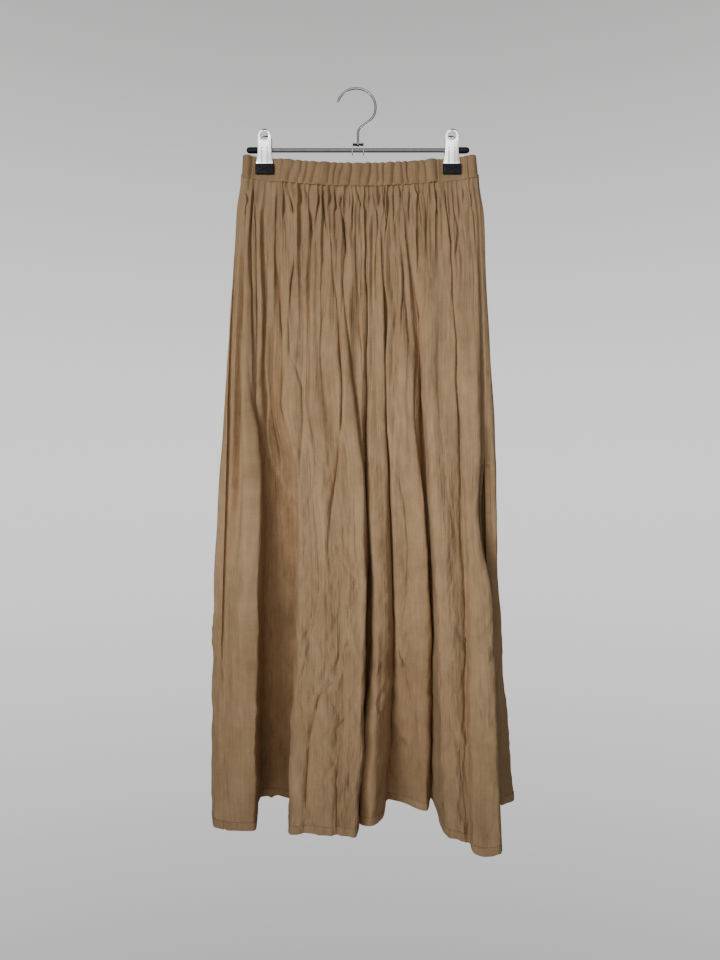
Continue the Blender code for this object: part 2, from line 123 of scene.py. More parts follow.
# The side seams and, below the slit's top, the two free edges, as in a row of folds
SEAM_LINES = {
    "left": (-178, -196, -198, -203, -193, -4.5, -7, -11, -20, -86, 0),
    "right": (183, 195, 195, 194, 199, -4.5, -10, -11, -10, -8, 0),
    "slit_front": (183, 195, 195, 198.5, 200, -4.5, -10, -14, -50, -121, 17),
    "slit_back": (183, 195, 195, 197, 219, -4.5, -10, -14, -20, -19, -3),
}


def smooth(a, b, value):
    """0 up to a, 1 from b on, and an even ramp between them."""
    share = np.clip((np.asarray(value, float) - a) / (b - a), 0.0, 1.0)
    return share * share * (3 - 2 * share)


def pressed(x):
    """1 where a grip presses the waist flat, 0 away from it."""
    return np.max([1 - smooth(15, 27, np.abs(np.asarray(x, float) - clip)) for clip in CLIP_PLACES], axis=0)


def waist_top(x):
    """Height of the waist's upper edge at each place across it."""
    share = np.minimum(1.0, np.abs(np.asarray(x, float) - WAIST_MIDDLE) / HALF_WAIST)
    return WAIST_TOP - WAIST_SAG * (1 - share * share) ** 1.2


def waist_seam(x):
    """Height of the seam that joins the gathered cloth to the band."""
    return waist_top(x) - BAND_DEPTH


def down_the_length(values, t):
    """A smooth curve through each row's five values that never swings past them."""
    spans = np.diff(LEVELS)
    rises = np.diff(values, axis=-1) / spans
    a, b = rises[..., :-1], rises[..., 1:]
    same = a * b > 0
    slopes = np.zeros(values.shape)
    slopes[..., 0] = rises[..., 0]
    slopes[..., -1] = rises[..., -1]
    slopes[..., 1:-1] = np.where(same, 2 * a * b / np.where(same, a + b, 1.0), 0.0)
    i = int(np.sum(t > LEVELS[1:-1]))
    u = (t - LEVELS[i]) / spans[i]
    return (values[..., i] * (2 * u**3 - 3 * u**2 + 1) + values[..., i + 1] * (3 * u**2 - 2 * u**3)
            + spans[i] * (slopes[..., i] * (u**3 - 2 * u**2 + u) + slopes[..., i + 1] * (u**3 - u**2)))


def fold_points(rows, t):
    """Where each row of folds stands at one level, as (x, y, how far the hem hangs low)."""
    rows = np.atleast_2d(np.array(rows, float))
    x = down_the_length(rows[:, 0:5], t)
    y = down_the_length(rows[:, 5:10], t)
    y = y * (1 - 0.55 * pressed(x) * (1 - smooth(0.0, 0.06, t)))
    x = x + np.copysign(4.0, x) * smooth(60, 180, np.abs(x)) * math.exp(-t / 0.35) * smooth(0.0, 0.06, t)
    return np.stack([x, y, rows[:, 10]], axis=1)


def side_points(side, panel, t):
    """A panel's side edge and the next point in from it: seam down to the slit, free below it."""
    across = np.array((-1.0 if side == "left" else 1.0, 0.0, 0.0))
    if panel == "front":
        across = -across
    seam = fold_points(SEAM_LINES[side], t)[0]
    if side == "right":
        free = fold_points(SEAM_LINES["slit_" + panel], t)[0]
        seam = seam + (free - seam) * smooth(SLIT_TOP, SLIT_TOP + 0.22, t)
        if panel == "back":
            seam[0] += 1.5 * smooth(SLIT_TOP, 0.54, t) * (1 - smooth(0.56, 0.68, t))
    edge = seam - across * 0.4
    inner = seam + across * 1.6
    return edge, inner, across


def cloth_line(rows, panel, t):
    """Everything that gives the cloth's line at one level: its points and the slopes at them."""
    left, left_in, left_way = side_points("left", panel, t)
    right, right_in, right_way = side_points("right", panel, t)
    line = np.vstack([left, left_in, fold_points(rows, t), right_in, right])
    if panel == "front":
        parting = smooth(SLIT_TOP - 0.04, 0.54, t) * (1 - smooth(0.56, 0.66, t))
        line[:, 0] -= 7.5 * parting * smooth(160, 190, line[:, 0])
    a, b = line[:-1], line[1:]
    before = np.vstack([line[:1], line[:-2]])
    after = np.vstack([line[2:], line[-1:]])
    span = np.linalg.norm((b - a)[:, :2], axis=1)[:, None]
    back = np.linalg.norm((a - before)[:, :2], axis=1)[:, None]
    ahead = np.linalg.norm((after - b)[:, :2], axis=1)[:, None]
    lead = (b - before) * (span / np.maximum(0.1, span + back))
    trail = (after - a) * (span / np.maximum(0.1, span + ahead))
    return (a, b, lead, trail), left_way, -right_way


def on_line(pieces, i, u):
    """Places on the cloth's line, and its direction there, in stretch i at the share u of it."""
    a, b, lead, trail = (part[i] for part in pieces)
    u = u[:, None]
    place = (a * (2 * u**3 - 3 * u**2 + 1) + lead * (u**3 - 2 * u**2 + u)
             + b * (3 * u**2 - 2 * u**3) + trail * (u**3 - u**2))
    way = (a * (6 * u**2 - 6 * u) + lead * (3 * u**2 - 4 * u + 1)
           + b * (6 * u - 6 * u**2) + trail * (3 * u**2 - 2 * u))
    return place, way


def cloth_shares(rows, panel):
    """Share of the cloth at each fold, from the lengths of its stretches at the waist and the hem."""
    total = 0
    for t, weight in ((0.0, 0.75), (1.0, 0.25)):
        pieces = cloth_line(rows, panel, t)[0]
        count = len(pieces[0])
        lengths = []
        for i in range(count):
            places = on_line(pieces, np.full(13, i), np.linspace(0, 1, 13))[0]
            lengths.append(np.linalg.norm(np.diff(places[:, :2], axis=0), axis=1).sum())
        total = total + weight * np.array(lengths) / sum(lengths)
    return np.concatenate([[0.0], np.cumsum(total)])


def ripple(a, b, seed, grid=97):
    """Seeded smooth noise from -1 to 1 over two arrays of numbers, one hill to about each unit."""
    heights = np.random.default_rng(seed).uniform(-1, 1, (grid, grid))
    i, j = np.floor(a).astype(int), np.floor(b).astype(int)
    u, v = a - i, b - j
    u, v = u * u * (3 - 2 * u), v * v * (3 - 2 * v)
    p, q = i % grid, j % grid
    r, s = (i + 1) % grid, (j + 1) % grid
    return ((heights[p, q] * (1 - u) + heights[r, q] * u) * (1 - v)
            + (heights[p, s] * (1 - u) + heights[r, s] * u) * v)


def gathers(share, t, count, seed, start, full, end, keep):
    """Round crests between narrow valleys, each of its own height and length."""
    chance = np.random.default_rng(seed)
    height = chance.uniform(0.55, 1.25, count + 2)
    length = chance.uniform(0.55, 1.9, count + 2)
    phase = (share * count + 0.42 * ripple(share * count * 0.8, t * 5, seed + 1)
             + 0.22 * ripple(share * count * 0.5, t * 14, seed + 2))
    phase = np.clip(phase, 0.0, count - 1e-6)
    number = phase.astype(int)
    # Each crest is broad and leans a little, and the valley beside it is narrow
    leaning = phase - 0.16 * np.sin(2 * np.pi * phase) - 0.12 * np.sin(np.pi * phase) ** 2
    crest = np.abs(np.sin(np.pi * leaning)) ** 0.72
    grows = start + (1 - start) * smooth(0.0, full, t)
    fades = keep + (1 - keep) * (1 - smooth(full, 1.0, t / (end * length[number])))
    return (crest * height[number] - 0.62) * grows * fades


def creases_in(x, z, facing, creases):
    """Short creases given as (x, z) ends, half width and depth: the depth, and the pinch across and up."""
    total, across, up = np.zeros_like(x), np.zeros_like(x), np.zeros_like(x)
    for x0, z0, x1, z1, width, depth in creases:
        along = np.array((x1 - x0, z1 - z0), float)
        length = np.hypot(*along)
        along /= length
        share = ((x - x0) * along[0] + (z - z0) * along[1]) / length
        bend = 0.06 * length * np.sin(np.clip(share, 0, 1) * np.pi * 1.7 + x0)
        off = (x - x0) * along[1] - (z - z0) * along[0] - bend * 0.35
        ends = smooth(-0.04, 0.16, share) * (1 - smooth(0.7, 1.04, share)) * facing
        valley = np.exp(-(off / width) ** 2) - 0.45 * np.exp(-(off / (width * 2.4)) ** 2)
        total -= depth * valley * ends
        pinch = min(0.72, 0.2 * depth) * off * np.exp(-(off / (1.8 * width)) ** 2) * ends
        across -= pinch * along[1]
        up += pinch * along[0]
    return total, across, up


def fold_lines_in(x, z, lines):
    """Long fold lines: how far the cloth lies back in each narrow valley between its raised
    shoulders, and how far the shoulders close in over it."""
    total, across = np.zeros_like(x), np.zeros_like(x)
    for points in lines:
        points = np.array(points, float)[::-1]
        inside = (z > points[0, 1]) & (z < points[-1, 1])
        place, width, depth = (np.interp(z, points[:, 1], points[:, k]) for k in (0, 2, 3))
        own = z * 0 + points[0, 0]
        place = place + 1.3 * ripple(z / 52, own, 7) + 0.2 * ripple(z / 17, own, 8)
        width = width * 1.2
        off = x - place
        valley = 1.2 * np.exp(-(off / width) ** 2) - np.exp(-np.abs(off / (width * 3.4)) ** 1.6)
        total += np.where(inside, depth * valley, 0.0)
        pinch = np.clip(depth * 0.24, 0, 0.74) * off * np.exp(-(off / (1.8 * width)) ** 2)
        across -= np.where(inside, pinch, 0.0)
    return total, across


# Lines where the front's folds lie against each other, from the top down
FRONT_FOLD_LINES = (
    # x, z, half width of the valley, height of its shoulders
    ((-175, -273, 2.4, 0), (-176, -379, 2.4, 4.0), (-178, -487, 2.7, 5), (-178, -609, 3, 3),
     (-177, -698, 3.6, 0)),
    ((-172, -333, 2.4, 0.0), (-168, -429, 2.7, 1.8), (-160, -489, 3.3, 3.0), (-151, -531, 3.6, 3.6),
     (-148, -593, 3.6, 2.4), (-148, -702, 3.6, 0.0)),
    ((-126, -174, 2.1, 1.2), (-121, -330, 2.7, 2.4), (-118, -424, 2.7, 4.2), (-119, -494, 2.7, 3.6),
     (-102, -549, 3, 3.0), (-94, -594, 3.3, 2.4), (-89, -668, 3.6, 1.8), (-87, -785, 3.9, 0.0)),
    ((-115, -253, 2.1, 0), (-103, -411, 2.4, 2.2), (-86, -464, 3, 2.6), (-84, -541, 3.3, 2.2),
     (-88, -638, 3.9, 1.6), (-92, -728, 3.9, 0)),
    ((-40, -263, 2.4, 0), (-31, -348, 2.7, 4), (-28, -410, 2.7, 8), (-24, -475, 2.8, 9),
     (-27, -541, 3.3, 6), (-31, -594, 3.9, 4.5), (-38, -646, 4.5, 3.0), (-46, -727, 5.1, 1.5),
     (-55, -815, 5.4, 0)),
    ((-23, -290, 2.4, 0), (-18, -350, 2.6, 5.5), (-15, -400, 2.7, 6), (-8, -457, 3.0, 6),
     (2, -533, 3.6, 5), (9, -601, 3.6, 3), (12, -650, 3.6, 0)),
    ((-1, -282, 2.2, 0), (2, -345, 2.4, 5), (3, -400, 2.4, 6), (6, -450, 2.6, 3), (8, -490, 2.6, 0)),
    ((-44, -258, 2.4, 0), (-47, -300, 2.4, 3.4), (-50, -352, 2.6, 3), (-56, -400, 2.8, 0)),
    ((-123, -300, 2.4, 0), (-119, -360, 2.6, 3), (-111, -430, 2.8, 3), (-104, -490, 3.0, 0)),
    ((70, -236, 2.4, 0), (71, -290, 2.6, 3.2), (68, -345, 2.6, 3.4), (66, -410, 2.8, 0)),
    ((12, -145, 2.2, 1.4), (12, -268, 2.5, 2.2), (14, -376, 2.7, 4.0), (14, -472, 2.7, 4.5),
     (11, -550, 3, 4.5), (15, -647, 3.6, 5.4), (18, -731, 4.2, 5.4), (14, -810, 5.1, 5.4),
     (11, -897, 4.8, 5.4), (8, -967, 4.5, 5.4), (5, -1043, 4.2, 4.5), (2, -1130, 3.9, 3.6)),
    ((40, -145, 2.2, 1.5), (40, -252, 2.5, 2.5), (42, -376, 2.8, 4.0), (43, -472, 2.8, 4.0),
     (46, -531, 3.3, 3.0), (48, -593, 3.6, 1.8), (49, -670, 3.9, 1.5), (51, -792, 4.5, 2.5),
     (54, -888, 5.1, 3.0), (53, -982, 5.1, 2.5), (47, -1130, 4.8, 1.5)),
    ((51, -360, 2.2, -1.4), (57, -423, 2.4, -2), (54, -472, 2.7, -2), (62, -516, 3, -2),
     (60, -570, 3, -1.6), (56, -624, 3, 0)),
    ((65, -145, 2.2, 1.2), (72, -221, 2.4, 3.0), (86, -300, 2.8, 2.0), (97, -376, 3.0, 2.0),
     (100, -461, 3.2, 2.8), (100, -511, 3.3, 4.0), (103, -570, 3.3, 4.8), (107, -647, 3.6, 5.2),
     (113, -732, 4.2, 5.2), (116, -810, 4.5, 5.2), (115, -881, 4.5, 5.2), (117, -969, 4.5, 4.8),
     (118, -1037, 4.5, 3.6), (122, -1130, 4.5, 2.0)),
    ((98, -329, 3.9, 0), (96, -392, 4.5, 4), (98, -453, 3.9, 5), (101, -515, 3.3, 0)),
    ((144, -239, 2.4, 1.8), (147, -332, 2.5, 3.0), (150, -394, 2.5, 4.2), (149, -448, 2.7, 4.2),
     (151, -486, 3, 3.0), (154, -532, 3.3, 2.4), (155, -593, 3.6, 1.8), (158, -646, 4.2, 1.5),
     (160, -720, 4.5, 1.4), (158, -815, 4.5, 1.2), (155, -927, 4.5, 1.6), (153, -1032, 4.5, 1.6),
     (153, -1130, 4.5, 1.2)),
    ((178, -145, 2.4, 1.0), (187, -253, 2.5, 1.6), (193, -345, 2.7, 2.8), (193, -423, 2.7, 3.2),
     (192, -516, 2.7, 3.2), (191, -578, 2.7, 2.4), (189, -609, 2.7, 0.0)),
    ((-202, -765, 3.2, 0), (-200, -800, 3.4, 6), (-197, -840, 3.4, 9), (-190, -890, 3.4, 6),
     (-188, -925, 3.4, 0)),
    ((-174, -884, 3, 0), (-174, -915, 3, 3.6), (-175, -950, 3, 2.4), (-175, -975, 3, 0)),
    ((-199, -1000, 3, 0), (-196, -1030, 3, 4), (-189, -1070, 3.3, 3.4), (-186, -1130, 3.3, 0)),
    ((-31, -895, 2.7, 0), (-40, -904, 3, 3), (-57, -922, 3.6, 4.5), (-63, -950, 4.5, 3.6),
     (-68, -984, 5.1, 3.6), (-71, -1024, 5.1, 3.4), (-75, -1065, 5.1, 3), (-80, -1130, 5.1, 1.5)),
    ((61, -808, 3.3, 2.5), (67, -875, 3.9, 4), (76, -913, 3.9, 5), (87, -951, 4.2, 4),
     (91, -1010, 4.5, 3), (93, -1058, 4.5, 0)),
    ((175, -924, 3, 0), (179, -945, 3.3, 2.6), (186, -968, 3.3, 0)),
    ((158, -1029, 3, 0), (169, -1038, 3.3, 2.4), (177, -1049, 3.3, 0)),
    ((-136, -1008, 3, 0), (-137, -1035, 3.3, 2.6), (-141, -1066, 3.6, 0)),
    ((166, -727, 4.5, 0), (167, -814, 5.1, 2), (162, -898, 5.1, 0)),
    ((-19, -727, 4.5, 0), (-26, -815, 5.4, 2.4), (-22, -914, 5.1, 2.4), (-26, -996, 5.1, 2),
     (-31, -1130, 4.8, 1)),
)
# Shorter creases: gathers that stand out below the band, and slanting ones in the long folds. A
# depth below nought is a ridge.
FRONT_CREASES = (
    # x, z of the upper end, x, z of the lower end, half width, depth
    (-165, -149, -163, -331, 3, 3.0), (-139, -153, -139, -284, 2.4, 5.1),
    (-113, -150, -115, -267, 2.6, 5.4), (-96, -242, -104, -357, 3, 5.1), (-76, -152, -71, -241, 2.4, 4.4),
    (-58, -152, -41, -249, 2.6, 5.8), (-25, -158, -18, -274, 2.8, 10.2), (-3, -150, 6, -242, 2.6, 5.8),
    (26, -150, 31, -242, 2.4, 5.1), (59, -254, 59, -385, 2.6, 5.1), (90, -148, 97, -241, 2.6, 5.8),
    (105, -151, 111, -306, 2.8, 6.1), (139, -151, 141, -283, 2.6, 6.1), (153, -192, 153, -268, 2.6, 5.8),
    (162, -150, 164, -239, 2.6, 4.1), (64, -868, 85, -919, 3.4, 4.1), (85, -919, 115, -940, 3.6, 4.6),
    (76, -876, 101, -867, 2.8, 3.0), (83, -671, 101, -661, 2.8, 2.7), (112, -592, 137, -604, 3, 3.0),
    (124, -887, 141, -895, 3.2, 2.7), (-9, -843, -36, -883, 3.4, 3.2), (-188, -727, -160, -786, 4.6, 2.4),
    (-178, -915, -149, -889, 4, 2.7), (-185, -991, -153, -1013, 4, 3.0), (-85, -843, -41, -817, 4.6, 2.2),
    (-51, -979, -14, -954, 4, 3.0), (21, -938, 42, -962, 3.6, 2.7), (126, -924, 161, -910, 4, 2.7),
    (136, -1001, 188, -976, 4.2, 3.0), (164, -843, 191, -865, 4, 2.4), (-27, -728, 0, -757, 4, 2.4),
    (75, -960, 110, -990, 4, 2.7), (-60, -1040, -30, -1010, 3.8, 2.7), (-120, -880, -100, -905, 3.8, 2.4),
    (60, -1000, 95, -1045, 4, 3.0), (-175, -640, -150, -655, 4, 2.2), (-70, -780, -40, -770, 4, 2.2),
    (120, -700, 150, -690, 4, 2.2), (125, -790, 150, -805, 4, 2.2), (-205, -1050, -170, -1035, 4, 2.7),
    (150, -960, 185, -945, 4, 2.4), (-17, -1032, -34, -1052, 3.2, -3.0),
    (-34, -1052, -71, -1080, 3.4, -3.4), (-68, -904, -88, -949, 3.2, -2.6),
    (-40, -1008, -60, -1040, 3.2, -2.4), (-24, -860, -31, -900, 3.2, -2.4),
    (130, -1010, 150, -1050, 3.2, -2.6), (178, -900, 160, -940, 3.2, -2.4),
    (-182, -930, -200, -975, 3.2, -2.4), (88, -985, 72, -1030, 3.2, -2.6),
    (-158, -820, -172, -870, 3.4, -2.2), (-60, -850, -84, -880, 3.2, -2.4),
    (128, -850, 148, -880, 3.2, -2.4),
)
# Short, sharp creases where the top of the front is drawn into the band, no two alike
BAND_CREASE_COUNT = 46
BAND_CREASE_START = -176
BAND_CREASE_PITCH = 7.75
BAND_CREASES = []
for k in range(BAND_CREASE_COUNT):
    chance = np.random.default_rng(500 + k)
    x = BAND_CREASE_START + k * BAND_CREASE_PITCH + chance.uniform(-3.5, 3.5)
    if pressed(x) < 0.4:
        seam = float(waist_seam(x))
        BAND_CREASES.append((x, seam + 2, x + chance.uniform(-8, 8), seam - chance.uniform(18, 75),
                             chance.uniform(1.8, 3.0), chance.uniform(3.0, 7.5)))

# Gathers of three widths, the finest dying out first
GATHERS = (
    # height, how many, seed, share of it at the seam, where it is full, where it ends, what stays
    (5.6, 44, 0, 0.6, 0.03, 0.14, 0.0),
    (6.0, 25, 10, 0.2, 0.07, 0.32, 0.03),
    (4.4, 14, 20, 0.0, 0.16, 0.7, 0.12),
)
# Soft waves of the cloth between its folds, broad ones first
WAVES = (
    # height, where it begins and is full, size across, slant, size down the length, seed
    (2.4, 0.1, 0.5, 62, math.inf, 170, 30),
    (1.3, 0.05, 0.4, 30, 160, 75, 31),
    (1.2, 0.45, 0.8, 21, 40, 34, 34),
    (0.9, 0.5, 0.85, 16, -30, 44, 35),
    (0.5, 0.05, 0.4, 9, math.inf, 85, 32),
    (0.22, 0.05, 0.4, 5.2, math.inf, 48, 33),
)
# Slanting ridges of the crumpled lower half, one family each way
RIDGES = (
    # height, slant, size down and its slant, how broad, least height, patches across and down, seeds
    (1.7, 38, 84, -70, 0.66, 0.55, 45, 50, 46, 37),
    (1.5, -46, 64, 70, 0.7, 0.5, 50, 55, 38, 39),
)
RIDGE_ACROSS = 40
COLUMNS = 498
# So many columns, each a millimetre or more from the next, leave the relief its full height
ROOMY_COLUMNS = 376
TUCKED_ROWS = 3
LENGTH_ROWS = np.concatenate([np.linspace(0, 0.08, 24, endpoint=False), np.linspace(0.08, 1, 166)])


def hung_form(panel, rows, seed):
    """The panel's main form, level by level down its length, and the way it faces at each point."""
    facing = -1.0 if panel == "front" else 1.0
    shares = cloth_shares(rows, panel)
    share = np.linspace(0, 1, COLUMNS + 1)
    i = np.clip(np.searchsorted(shares, share, side="right") - 1, 0, len(shares) - 2)
    part = np.clip((share - shares[i]) / np.maximum(1e-6, shares[i + 1] - shares[i]), 0, 1)
    grid, outs = [], []
    tops = None
    for t in LENGTH_ROWS:
        pieces, left_way, right_way = cloth_line(rows, panel, float(t))
        place, way = on_line(pieces, i, part)
        way[0], way[-1] = left_way, right_way
        if tops is None:
            tops = waist_seam(place[:, 0]) - 0.3
        low = (HEM_HEIGHT - place[:, 2] + 1.8 * ripple(share * 14, share * 0, seed + 90)
               + 1.2 * ripple(share * 41, share * 0, seed + 91))
        out = np.stack([-way[:, 1], way[:, 0]], axis=1) * facing
        out /= np.maximum(1e-6, np.linalg.norm(out, axis=1))[:, None]
        grid.append(np.stack([place[:, 0], place[:, 1], tops + (low - tops) * t], axis=1))
        outs.append(out)
    return np.array(grid), np.array(outs), share


def small_relief(s, t, z, seed):
    """How far the gathers, waves and ridges lift the cloth from its main form."""
    height = sum(tall * gathers(s, t, count, seed + own, start, full, end, keep)
                 for tall, count, own, start, full, end, keep in GATHERS)
    wide = s * FRONT_WIDTH
    for tall, begins, full, across, slant, down, own in WAVES:
        height += tall * smooth(begins, full, t) * ripple(wide / across + z / slant, z / down, seed + own)
    for tall, slant, down, leans, broad, least, patch, patch_down, own, patch_seed in RIDGES:
        folded = 1 - np.abs(ripple(wide / RIDGE_ACROSS + z / slant, z / down + wide / leans, seed + own))
        patches = least + (1 - least) * ripple(wide / patch, z / patch_down, seed + patch_seed)
        height += tall * smooth(0.5, 0.85, t) * smooth(broad, 1.0, folded) * patches
    return height


def cloth_sheet(panel, rows, lines, creases, seed):
    """Points of a panel, row by row from the edge inside the band to the hem, in millimetres."""
    facing = -1.0 if panel == "front" else 1.0
    grid, outs, share = hung_form(panel, [row[1:] for row in rows], seed)
    s = np.broadcast_to(share, grid.shape[:2])
    t = np.broadcast_to(LENGTH_ROWS[:, None], grid.shape[:2])
    # The relief is held back where a fold leaves the cloth little room
    spacing = np.linalg.norm(np.diff(grid[:, :, :2], axis=1), axis=2)
    spacing = np.concatenate([spacing, spacing[:, -1:]], axis=1) * COLUMNS / ROOMY_COLUMNS
    room = np.clip(spacing, 0.0, 1.0)
    edge = smooth(0.0, 0.035, np.minimum(s, 1 - s))
    height = small_relief(s, t, grid[:, :, 2], seed)
    height *= edge * room**1.3 * (1 - 0.7 * pressed(grid[:, :, 0]) * (1 - smooth(0.0, 0.06, t)))
    in_view = np.clip(facing * outs[:, :, 1] * 1.6, 0, 1)
    grows = smooth(0.0, 0.02, t) * edge
    depth, across, up = creases_in(grid[:, :, 0], grid[:, :, 2], in_view, creases)
    back, closing = fold_lines_in(grid[:, :, 0], grid[:, :, 2], lines)
    grid[:, :, :2] += outs * (height + depth * grows)[:, :, None]
    grid[:, :, 0] += (across + closing) * grows
    grid[:, :, 1] -= facing * back * grows
    grid[:, :, 2] += up * grows
    # The panels never cross: near the waist each stays on its own side of the hanger's plane
    inmost = -0.9 + 250 * smooth(0.1, 0.7, t)
    inmost = inmost + 30 * (1 - smooth(0.02, 0.06, np.minimum(s, 1 - s)))
    grid[:, :, 1] = facing * np.maximum(facing * grid[:, :, 1], -inmost)
    tucked = []
    for k in range(TUCKED_ROWS):
        row = grid[0].copy()
        row[:, 1] = row[:, 1] * 0.9 + facing * 0.35
        row[:, 2] += (TUCKED_ROWS - k) * 2.2
        tucked.append(row)
    return np.concatenate([np.array(tucked), grid])


def sheet_mesh(name, grid, outward, width):
    """An open sheet from rows of points, with smooth faces that look outward and a map in metres."""
    rows, columns = grid.shape[:2]
    number = np.arange(rows * columns).reshape(rows, columns)
    corners = (number[:-1, :-1], number[:-1, 1:], number[1:, 1:], number[1:, :-1])
    quads = np.stack(corners, axis=-1).reshape(-1, 4)
    a, b, d = (grid.reshape(-1, 3)[quads[:, k]] for k in (0, 1, 3))
    if np.mean(np.cross(b - a, d - a)[:, 1] * outward) < 0:
        quads = quads[:, ::-1]
    mesh = bpy.data.meshes.new(name)
    mesh.from_pydata((grid.reshape(-1, 3) / 1000).tolist(), [], quads.tolist())
    mesh.polygons.foreach_set("use_smooth", np.ones(len(quads), bool))
    across = np.linspace(0, width / 1000, columns)
    steps = np.linalg.norm(np.diff(grid[:, columns // 2], axis=0), axis=1) / 1000
    down = np.concatenate([[0], np.cumsum(steps)])
    place = np.stack(np.broadcast_arrays(across[None, :], -down[:, None]), axis=-1).reshape(-1, 2)
    layer = mesh.uv_layers.new(name="cloth")
    layer.data.foreach_set("uv", place[quads.reshape(-1)].astype(np.float32).ravel())
    ob = bpy.data.objects.new(name, mesh)
    bpy.context.scene.collection.objects.link(ob)
    return ob


# The linen: soft brown, matt, with a fine weave, thicker threads here and there, and the small
# lengthwise crinkles of cloth that was washed and left to dry twisted
def new_material(name):
    """An empty material with its nodes, its links and its main shader."""
    mat = bpy.data.materials.new(name)
    mat.use_nodes = True
    nodes = mat.node_tree.nodes
    return mat, nodes, mat.node_tree.links, nodes["Principled BSDF"]


def stretched_noise(nodes, links, coords, across, along, detail, label, turn=0.0):
    """Noise with its hills drawn out: so many to a metre across the cloth and along it."""
    mapping = nodes.new("ShaderNodeMapping")
    mapping.inputs["Scale"].default_value = (across, along, 1.0)
    if turn:
        turned = nodes.new("ShaderNodeVectorRotate")
        turned.rotation_type = "Z_AXIS"
        turned.inputs["Angle"].default_value = math.radians(turn)
        links.new(coords, turned.inputs["Vector"])
        coords = turned.outputs["Vector"]
    noise = nodes.new("ShaderNodeTexNoise")
    noise.label = label
    noise.inputs["Scale"].default_value = 1.0
    noise.inputs["Detail"].default_value = detail
    noise.inputs["Roughness"].default_value = 0.5
    links.new(coords, mapping.inputs["Vector"])
    links.new(mapping.outputs["Vector"], noise.inputs["Vector"])
    return noise.outputs["Fac"]


def linen_material(name, light, dark, crinkle):
    """Linen between two tones, with crinkles of one depth, laid out on the cloth's own map in metres."""
    mat, nodes, links, shader = new_material(name)
    coords = nodes.new("ShaderNodeTexCoord").outputs["UV"]
    base = nodes.new("ShaderNodeMix")
    base.data_type = "RGBA"
    base.inputs["A"].default_value = (*dark, 1)
    base.inputs["B"].default_value = (*light, 1)
    total = None
    for across, along, detail, share, label in (
        (14, 7, 3.0, 1.1, "washed patches"),
        (52, 38, 3.0, 0.7, "small mottling"),
        (420, 17, 2.0, 0.8, "lengthwise threads"),
        (34, 380, 2.0, 0.3, "crosswise threads"),
        (150, 60, 2.0, 0.4, "slubs"),
    ):
        step = nodes.new("ShaderNodeMath")
        step.operation = "MULTIPLY_ADD"
        step.inputs[1].default_value = share
        step.inputs[2].default_value = 0.5 - 0.5 * 3.3 if total is None else 0.0
        links.new(stretched_noise(nodes, links, coords, across, along, detail, label), step.inputs[0])
        if total is not None:
            links.new(total, step.inputs[2])
        total = step.outputs[0]
    links.new(total, base.inputs["Factor"])
    links.new(base.outputs["Result"], shader.inputs["Base Color"])
    # The crumples grow from the hips down
    place = nodes.new("ShaderNodeSeparateXYZ")
    lower = nodes.new("ShaderNodeMapRange")
    for socket, value in (("From Min", -0.28), ("From Max", -0.72), ("To Min", 0.4), ("To Max", 1.15)):
        lower.inputs[socket].default_value = value
    links.new(coords, place.inputs["Vector"])
    links.new(place.outputs["Y"], lower.inputs["Value"])
    normal = None
    for across, along, detail, height, turn, label in (
        (120, 9, 2.0, crinkle, 0.0, "long crinkles"),
        (330, 26, 2.0, crinkle * 0.45, 0.0, "fine crinkles"),
        (62, 40, 2.0, crinkle * 2.2, 12.0, "crumple"),
        (44, 12, 1.0, crinkle * 3.2, 38.0, "slanting creases"),
        (28, 10, 1.0, crinkle * 4.4, -40.0, "creases the other way"),
        (620, 22, 1.0, 0.00012, 0.0, "thread ridges"),
        (30, 560, 1.0, 0.00010, 0.0, "pick ridges"),
    ):
        bump = nodes.new("ShaderNodeBump")
        bump.label = label
        bump.inputs["Strength"].default_value = 1.0
        bump.inputs["Distance"].default_value = height
        if turn:
            links.new(lower.outputs["Result"], bump.inputs["Strength"])
        hills = stretched_noise(nodes, links, coords, across, along, detail, label, turn)
        links.new(hills, bump.inputs["Height"])
        if normal is not None:
            links.new(normal, bump.inputs["Normal"])
        normal = bump.outputs["Normal"]
    links.new(normal, shader.inputs["Normal"])
    shader.inputs["Roughness"].default_value = 0.86
    shader.inputs["Specular IOR Level"].default_value = 0.1
    shader.inputs["Sheen Weight"].default_value = 0.04
    shader.inputs["Sheen Roughness"].default_value = 0.5
    shader.inputs["Sheen Tint"].default_value = (0.95, 0.86, 0.74, 1)
    return mat


LINEN = linen_material("washed_linen", (0.482, 0.298, 0.146), (0.270, 0.159, 0.072), 0.0012)

front_grid = cloth_sheet("front", FRONT_FOLDS, FRONT_FOLD_LINES, FRONT_CREASES + tuple(BAND_CREASES), 41)
front_cloth = sheet_mesh("front_panel_cloth", front_grid, -1, FRONT_WIDTH)
front_cloth.data.materials.append(LINEN)
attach(front_cloth, "root")
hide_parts("front_panel")


# Back panel: the same linen, cut a little narrower and gathered the same way. It hangs flatter
# than the front, in ten soft flutes of uneven width.

